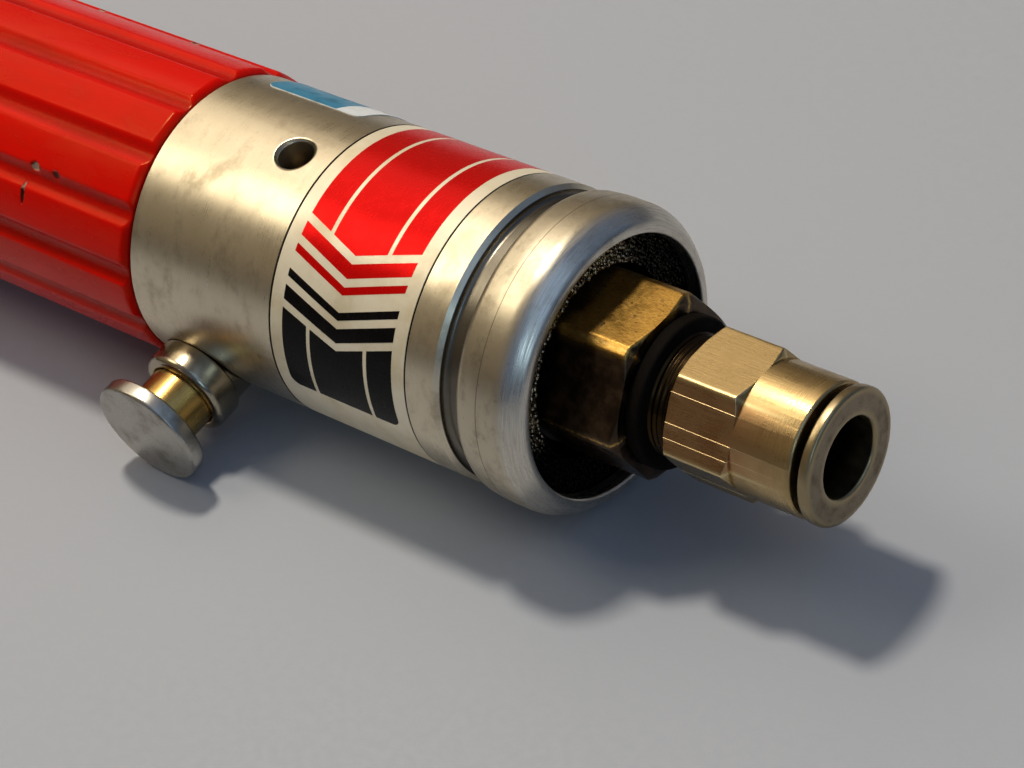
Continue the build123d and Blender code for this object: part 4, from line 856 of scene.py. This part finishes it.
# Inlet bush: hexagon brass, screwed into the housing's boss inside the exhaust mouth. It is dark with oil,
# apart from the two flats and the corners where spanners have rubbed it back to bare brass.
# The corners on the upper half are lighter still, as painted highlight.
HEX_FLATS = np.radians(np.arange(0, 360, 60))
HEX_CHAMFER = math.radians(30)
CORNER_SHARPNESS = 90
CORNER_ROUNDING = 0.04 * MM
CHAMFER_ROUNDING = 0.05 * MM
FROM_CORNER = np.array([0, 0.5, 1.0, 1.6, 2.2, 2.6, 3.0, 3.4, 3.9, 5, 8, 12, 17, 23, 30])
INLET_ACROSS = 17.5 * MM
INLET_CHAMFER = 1.2 * MM
CORNER_WEAR = 0.3 * MM
BUSH_BARREL = 5.98 * MM
BUSH_SUNK = 0.5 * MM
THREAD_RADIUS = 5.02 * MM
THREAD_DEPTH = 8.3 * MM
AIR_WAY = 3.8 * MM
hex_turns = np.radians(np.unique(np.concatenate([
    (corner + side * FROM_CORNER) % 360 for corner in range(30, 360, 60) for side in (-1, 1)])))


def hex_radius(across, turns):
    """Radius of a hexagon with a flat on top and slightly rounded corners."""
    facing = np.maximum(np.cos(turns[:, None] - HEX_FLATS), 0)
    return across / 2 / np.sum(facing ** CORNER_SHARPNESS, axis=1) ** (1 / CORNER_SHARPNESS)


def hex_rings(across, front, rear, chamfer, turns, worn=0.0):
    """Rings of a hexagon bar whose corners are turned off at both ends and worn flat along their length."""
    depths = chamfer * np.arange(0, 1.2, 0.07)
    rows = np.unique(np.concatenate([front - depths, rear + depths, np.linspace(rear, front, 5)]))
    corner = across / math.sqrt(3)
    worn_off = (corner - worn) / np.cos(np.radians(corner_angle(turns)))
    bar = soft_least(hex_radius(across, turns), worn_off, CORNER_ROUNDING)
    for x in rows[::-1]:
        turned_off = corner - chamfer + min(front - x, x - rear) / math.tan(HEX_CHAMFER)
        yield x, soft_least(bar, turned_off, CHAMFER_ROUNDING)


def corner_angle(turns):
    """Degrees from the nearest corner of a hexagon."""
    return np.abs(np.mod(np.degrees(turns), 60) - 30)


bush_end, bush_tip, _ = extent("inlet_bush")
bush_shoulder = housing_rear + BUSH_SUNK
thread_end = bush_end + THREAD_DEPTH
bush = spun("inlet_hex_bush", [
    (bush_tip, BUSH_BARREL), (bush_shoulder, BUSH_BARREL),
    *hex_rings(INLET_ACROSS, bush_shoulder, bush_end, INLET_CHAMFER, hex_turns, CORNER_WEAR),
    (bush_end, THREAD_RADIUS), (thread_end, THREAD_RADIUS), (thread_end, AIR_WAY),
    (bush_tip, AIR_WAY)], hex_turns)
_, bush_z, bush_out, bush_turned = places_of(bush)
from_flat = np.abs(np.abs(np.degrees(bush_turned)) - 90)
bar_out = np.minimum(hex_radius(INLET_ACROSS, bush_turned), INLET_ACROSS / math.sqrt(3) - CORNER_WEAR)
on_bar = np.clip((bush_out - bar_out) / (0.1 * MM) + 2.5, 0, 1)
on_corner = np.exp(-(corner_angle(bush_turned) / 1.4) ** 2)
# The corner mask is full on the upper half and faint below, as painted highlight.
carry(bush, rubbed=np.clip((from_flat - 54.5) / 2.5, 0, 1) * on_bar,
      edge=on_corner * np.where(bush_z > 0, 1, 0.12))
patina = Finish("patina_brass", metallic=1.0)
oil = patina.grain(1.6, 5.0, 0.62)
rubs = patina.grain((0.5, 0.07, 2.0))
flecks = patina.grain((0.5, 0.35, 0.35))
dark_skin = patina.tint(patina.step(oil, 0.35, 0.7), (62, 49, 39), (90, 72, 54))
brass = patina.tint(patina.step(rubs, 0.4, 0.75), (190, 148, 74), (142, 104, 50))
marked = patina.tint(patina.step(flecks, 0.62, 0.74, 0.0, 0.8), brass, (74, 52, 26))
bare_flat = patina.both(patina.mask("rubbed"), patina.step(oil, 0.72, 0.58))
# Wear and painted highlight: the corners are pale brass, fully on the upper half and faintly below.
bright_edge = patina.both(patina.mask("edge"), patina.step(flecks, 0.38, 0.6, 0.15, 0.85))
skinned = patina.tint(bare_flat, dark_skin, marked)
patina.drive("Base Color", patina.tint(bright_edge, skinned, (214, 176, 100)))
patina.drive("Roughness", patina.step(oil, 0.3, 0.75, 0.28, 0.46))
patina.emboss(flecks, 0.012, patina.emboss(rubs, 0.006))
fit(bush, patina, "inlet_bush")

# Sealing washer: a ring of black oiled fibre, squeezed between the bush and the hose fitting.
# Its rims have bulged a little under the load.
WASHER_FILLET = 0.4 * MM
washer_rear, washer_front, washer_radius = extent("inlet_washer")
washer = spun("fibre_washer", eased(
    (washer_front, washer_radius, WASHER_FILLET), (washer_rear, washer_radius, WASHER_FILLET),
    (washer_rear, THREAD_RADIUS), (washer_front, THREAD_RADIUS)), TURNED)
fibre = plain("sealing_fibre", (0.15, 0.8, 0.8), (9, 7, 5), (23, 17, 12), (0.66, 0.86), 0.03, 4.0)
fibre.drive("Specular IOR Level", 0.05)
fit(washer, fibre, "inlet_washer")

# Hose fitting: turned from drawn hexagon brass and plated. The die has left raised lines along its flats,
# the lathe has left marks round its neck and body, and the tail is screwed into the bush.
FITTING_ACROSS = 14.0 * MM
FITTING_CHAMFER = 0.8 * MM
FITTING_RADIUS = 7.05 * MM
FITTING_FILLET = 0.4 * MM
HEX_LENGTH = 7.7 * MM
NECK_LENGTH = 2.5 * MM
NECK_RADIUS = 6.5 * MM
NECK_PITCH = 0.62 * MM
NECK_DEPTH = 0.09 * MM
TAIL_RADIUS = THREAD_RADIUS - 0.04 * MM
TAIL_BORE = 2.8 * MM
HOSE_RADIUS = 4.2 * MM
HOSE_DEPTH = 11.1 * MM
POCKET_RADIUS = HOSE_RADIUS + 0.95 * MM
POCKET_FILLET = 0.15 * MM
POCKET_PLAY = 0.8 * MM
DIE_LINES = np.radians([42, 67, 79, 128, 171, 232, 305])
DIE_LINE_HEIGHT = 0.035 * MM
DIE_LINE_COLUMNS = np.radians([-0.5, -0.25, 0, 0.25, 0.5])
BARED_FLAT = 60
fitting_rear, fitting_front, _ = extent("fitting_body")
collet_rear, collet_front, flange_radius = extent("release_collet")
hex_front = washer_rear - NECK_LENGTH
hex_rear = hex_front - HEX_LENGTH
pocket_front = collet_front + POCKET_PLAY
hose_stop = fitting_rear + HOSE_DEPTH
line_turns = [line + offset for line in DIE_LINES for offset in DIE_LINE_COLUMNS]
fitting_turns = np.unique(np.concatenate([hex_turns, line_turns]))


def die_line(turns):
    """Height of the die lines, from 0 to 1."""
    return np.max(np.exp(-(np.degrees(turns[:, None] - DIE_LINES) / 0.2) ** 2), axis=1)


drawn_lines = DIE_LINE_HEIGHT * die_line(fitting_turns) * (corner_angle(fitting_turns) > 4)
flats = [(x, radius + drawn_lines)
         for x, radius in hex_rings(FITTING_ACROSS, hex_front, hex_rear, FITTING_CHAMFER, fitting_turns)]
neck = [(x, NECK_RADIUS - NECK_DEPTH * (1 - math.cos(math.tau * (washer_rear - x) / NECK_PITCH)))
        for x in np.linspace(washer_rear, hex_front, 34)]
body = eased(
    (hex_rear, FITTING_RADIUS), (fitting_rear, FITTING_RADIUS, FITTING_FILLET),
    (fitting_rear, POCKET_RADIUS, POCKET_FILLET), (pocket_front, POCKET_RADIUS),
    (pocket_front, HOSE_RADIUS), (hose_stop, HOSE_RADIUS), (hose_stop, TAIL_BORE),
    (fitting_front, TAIL_BORE))
fitting = spun("hose_fitting", [
    (fitting_front, TAIL_RADIUS), (washer_rear, TAIL_RADIUS), *neck, *flats, *body], fitting_turns)
fitting_x, _, _, fitting_turned = places_of(fitting)
fitting_turned = np.mod(fitting_turned, math.tau)
on_flats = (fitting_x < hex_front) & (fitting_x > hex_rear)
from_bared = np.abs(np.degrees(fitting_turned) - BARED_FLAT)
carry(fitting, flats=on_flats, neck=fitting_x > hex_front - SLIP,
      edge=on_flats * np.exp(-(corner_angle(fitting_turned) / 1.6) ** 2),
      die_line=on_flats * die_line(fitting_turned),
      bared=on_flats * np.clip((30 - from_bared) / 4, 0, 1))
plated = Finish("plated_brass", metallic=1.0)
drawn = plated.grain((6, 0.06, 0.06))
lathe = plated.lathe_grain(0.07, 7)
film = plated.grain(4, 5.0, 0.6)
nicks = plated.grain((0.4, 0.3, 0.3), 2.0)
tarnish = plated.tint(plated.step(film, 0.44, 0.76, 0.0, 0.5), (187, 161, 114), (143, 117, 76))
bared = plated.both(plated.mask("bared"), plated.step(film, 0.25, 0.6, 1.0, 0.7))
browned = plated.tint(bared, tarnish, (174, 130, 92))
nicked = plated.tint(plated.step(nicks, 0.68, 0.78, 0.0, 0.6), browned, (112, 86, 48))
# Wear and painted highlight: the corners and the raised die lines are coloured pale brass.
edge_and_line_highlight = plated.calc("MAXIMUM", plated.calc("MULTIPLY", plated.mask("edge"), 0.7), plated.mask("die_line"))
lined = plated.tint(edge_and_line_highlight, nicked, (232, 210, 160))
plated.drive("Base Color", plated.tint(plated.mask("neck"), lined, (52, 38, 22)))
marks = plated.between(plated.mask("flats"), lathe, drawn)
polish = plated.step(film, 0.3, 0.8, 0.24, 0.38)
plated.drive("Roughness", plated.calc("ADD", polish, plated.step(marks, 0.35, 0.75, -0.04, 0.1)))
plated.emboss(nicks, 0.006, plated.emboss(marks, 0.008))
fit(fitting, plated, "fitting_body")

# Release ring: a flanged brass collet that slides in the fitting's mouth and frees the hose when pushed in.
# Its rims are rounded, its face is rubbed grey, and the barrel behind the flange is coloured near black.
FLANGE_LENGTH = 1.2 * MM
FLANGE_FILLETS = 0.25 * MM, 0.4 * MM
COLLET_BARREL = HOSE_RADIUS + 0.9 * MM
COLLET_MOUTH_FILLET = 0.35 * MM
COLLET_WALL = 0.3 * MM
FACE_INSIDE = 5.1 * MM
FACE_OUTSIDE = 6.3 * MM
flange_front = collet_rear + FLANGE_LENGTH
collet = spun("hose_release_ring", eased(
    (collet_front, COLLET_BARREL), (flange_front, COLLET_BARREL),
    (flange_front, flange_radius, FLANGE_FILLETS[0]), (collet_rear, flange_radius, FLANGE_FILLETS[1]),
    (collet_rear, FACE_OUTSIDE), (collet_rear, FACE_INSIDE),
    (collet_rear, HOSE_RADIUS, COLLET_MOUTH_FILLET), (collet_front, HOSE_RADIUS)), TURNED)
_, _, collet_out, _ = places_of(collet)
from_face = np.abs(collet_out - (FACE_INSIDE + FACE_OUTSIDE) / 2)
carry(collet, rim=np.clip(from_face / (0.4 * MM) - 1.6, 0, 1))
ring = Finish("release_ring", metallic=1.0)
x, y, z = ring.axes()
out = ring.span(y, z)
turning = ring.lathe_grain(0.09, 6)
rub = ring.grain(1.5, 5.0, 0.6)
face = ring.tint(ring.step(rub, 0.4, 0.72), (134, 120, 98), (106, 92, 72))
gilt = ring.tint(ring.mask("rim"), face, (160, 143, 110))
# The barrel behind the flange, outside the bore, is coloured near black.
behind = ring.step(x, flange_front - 0.1 * MM, flange_front + 0.1 * MM)
dark_barrel = ring.both(behind, ring.calc("GREATER_THAN", out, HOSE_RADIUS + COLLET_WALL))
# Painted shade: the bore wall turns dark brown from the flange inwards.
deep = ring.step(x, flange_front, flange_front + 2.4 * MM)
bore_painted_shade = ring.both(deep, ring.calc("LESS_THAN", out, HOSE_RADIUS + COLLET_WALL))
lined = ring.tint(bore_painted_shade, gilt, (70, 56, 38))
ring.drive("Base Color", ring.tint(dark_barrel, lined, (26, 22, 18)))
polish = ring.step(rub, 0.3, 0.8, 0.26, 0.4)
ring.drive("Roughness", ring.calc("ADD", polish, ring.step(turning, 0.4, 0.8, 0.0, 0.08)))
ring.emboss(turning, 0.006)
fit(collet, ring, "release_collet", "release_collet")

# Studio: the tool lies on a pale matt floor. A small warm lamp overhead, with a softbox and a ceiling panel,
# lights it from the front, and a weak blue softbox and window panel light it from behind the hose end.
# The surroundings go from warm ahead to blue behind, dark near the floor. The camera is behind the hose end.
FLOOR_HALF = 2.0
TOOL_MIDDLE = Vector((-0.24, 0, 0))
BLUE_BEHIND = (0.10, 0.15, 0.25, 1)
WARM_AHEAD = (0.225, 0.183, 0.128, 1)
floor_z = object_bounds()[0].z
floor_corners = [(x * FLOOR_HALF, y * FLOOR_HALF, floor_z) for x, y in ((-1, -1), (1, -1), (1, 1), (-1, 1))]
floor_mesh = bpy.data.meshes.new("studio_floor")
floor_mesh.from_pydata(floor_corners, [], [(0, 1, 2, 3)])
floor = placed("studio_floor", floor_mesh)
matt = plain("studio_floor", 1.1, (161, 165, 172), (169, 172, 179), (0.5, 0.7), 0.02)
floor_mesh.materials.append(matt.material)

for name, towards, distance, size, power, colour in (
        ("overhead_lamp", (0.30, -0.15, 1.0), 0.9, 0.12, 4.9, (1.0, 0.92, 0.79)),
        ("warm_softbox", (0.56, 0.27, 0.79), 0.9, 0.38, 1.35, (1.0, 0.90, 0.70)),
        ("ceiling_panel", (0.58, -0.28, 0.76), 1.0, 0.8, 1.4, (1.0, 0.87, 0.68)),
        ("rear_softbox", (-0.62, 0.10, 0.78), 1.0, 0.8, 0.75, (0.50, 0.70, 1.0)),
        ("window_panel", (-0.70, 0.55, 0.42), 1.0, 0.3, 0.5, (0.58, 0.82, 1.0))):
    light = bpy.data.lights.new(name, "AREA")
    light.shape = "DISK"
    light.size = size
    light.energy = power
    light.color = colour
    stand = placed(name, light)
    away = Vector(towards).normalized()
    stand.location = TOOL_MIDDLE + away * distance
    stand.rotation_euler = away.to_track_quat("Z", "Y").to_euler()

world = bpy.data.worlds.new("studio_light")
bpy.context.scene.world = world
world.use_nodes = True
sky = world.node_tree
direction = sky.nodes.new("ShaderNodeSeparateXYZ")
sky.links.new(sky.nodes.new("ShaderNodeTexCoord").outputs["Generated"], direction.inputs[0])
ahead = sky.nodes.new("ShaderNodeMapRange")
ahead.interpolation_type = "SMOOTHSTEP"
dusk = sky.nodes.new("ShaderNodeMapRange")
for ramp, axis, ends in ((ahead, "X", (-0.5, 0.5, 0.0, 1.0)), (dusk, "Z", (0.0, 0.32, 0.16, 1.0))):
    sky.links.new(direction.outputs[axis], ramp.inputs[0])
    for socket, end in zip(ramp.inputs[1:5], ends):
        socket.default_value = end
shade = sky.nodes.new("ShaderNodeMix")
shade.data_type = "RGBA"
shade.inputs[6].default_value = BLUE_BEHIND
shade.inputs[7].default_value = WARM_AHEAD
sky.links.new(ahead.outputs[0], shade.inputs[0])
sky.links.new(shade.outputs[2], sky.nodes["Background"].inputs["Color"])
sky.links.new(dusk.outputs[0], sky.nodes["Background"].inputs["Strength"])

camera = placed("camera", bpy.data.cameras.new("camera"))
camera.data.sensor_width = 36.0
camera.data.lens = 108.2
right, up, back = (-0.76818, -0.61695, -0.17110), (0.31266, -0.59471, 0.74065), (-0.55870, 0.51546, 0.64974)
camera.matrix_world = Matrix((right, up, back)).transposed().to_4x4()
camera.location = (-0.4157, 0.1655, 0.1997)
bpy.context.scene.camera = camera
bpy.context.scene.view_settings.view_transform = "Standard"
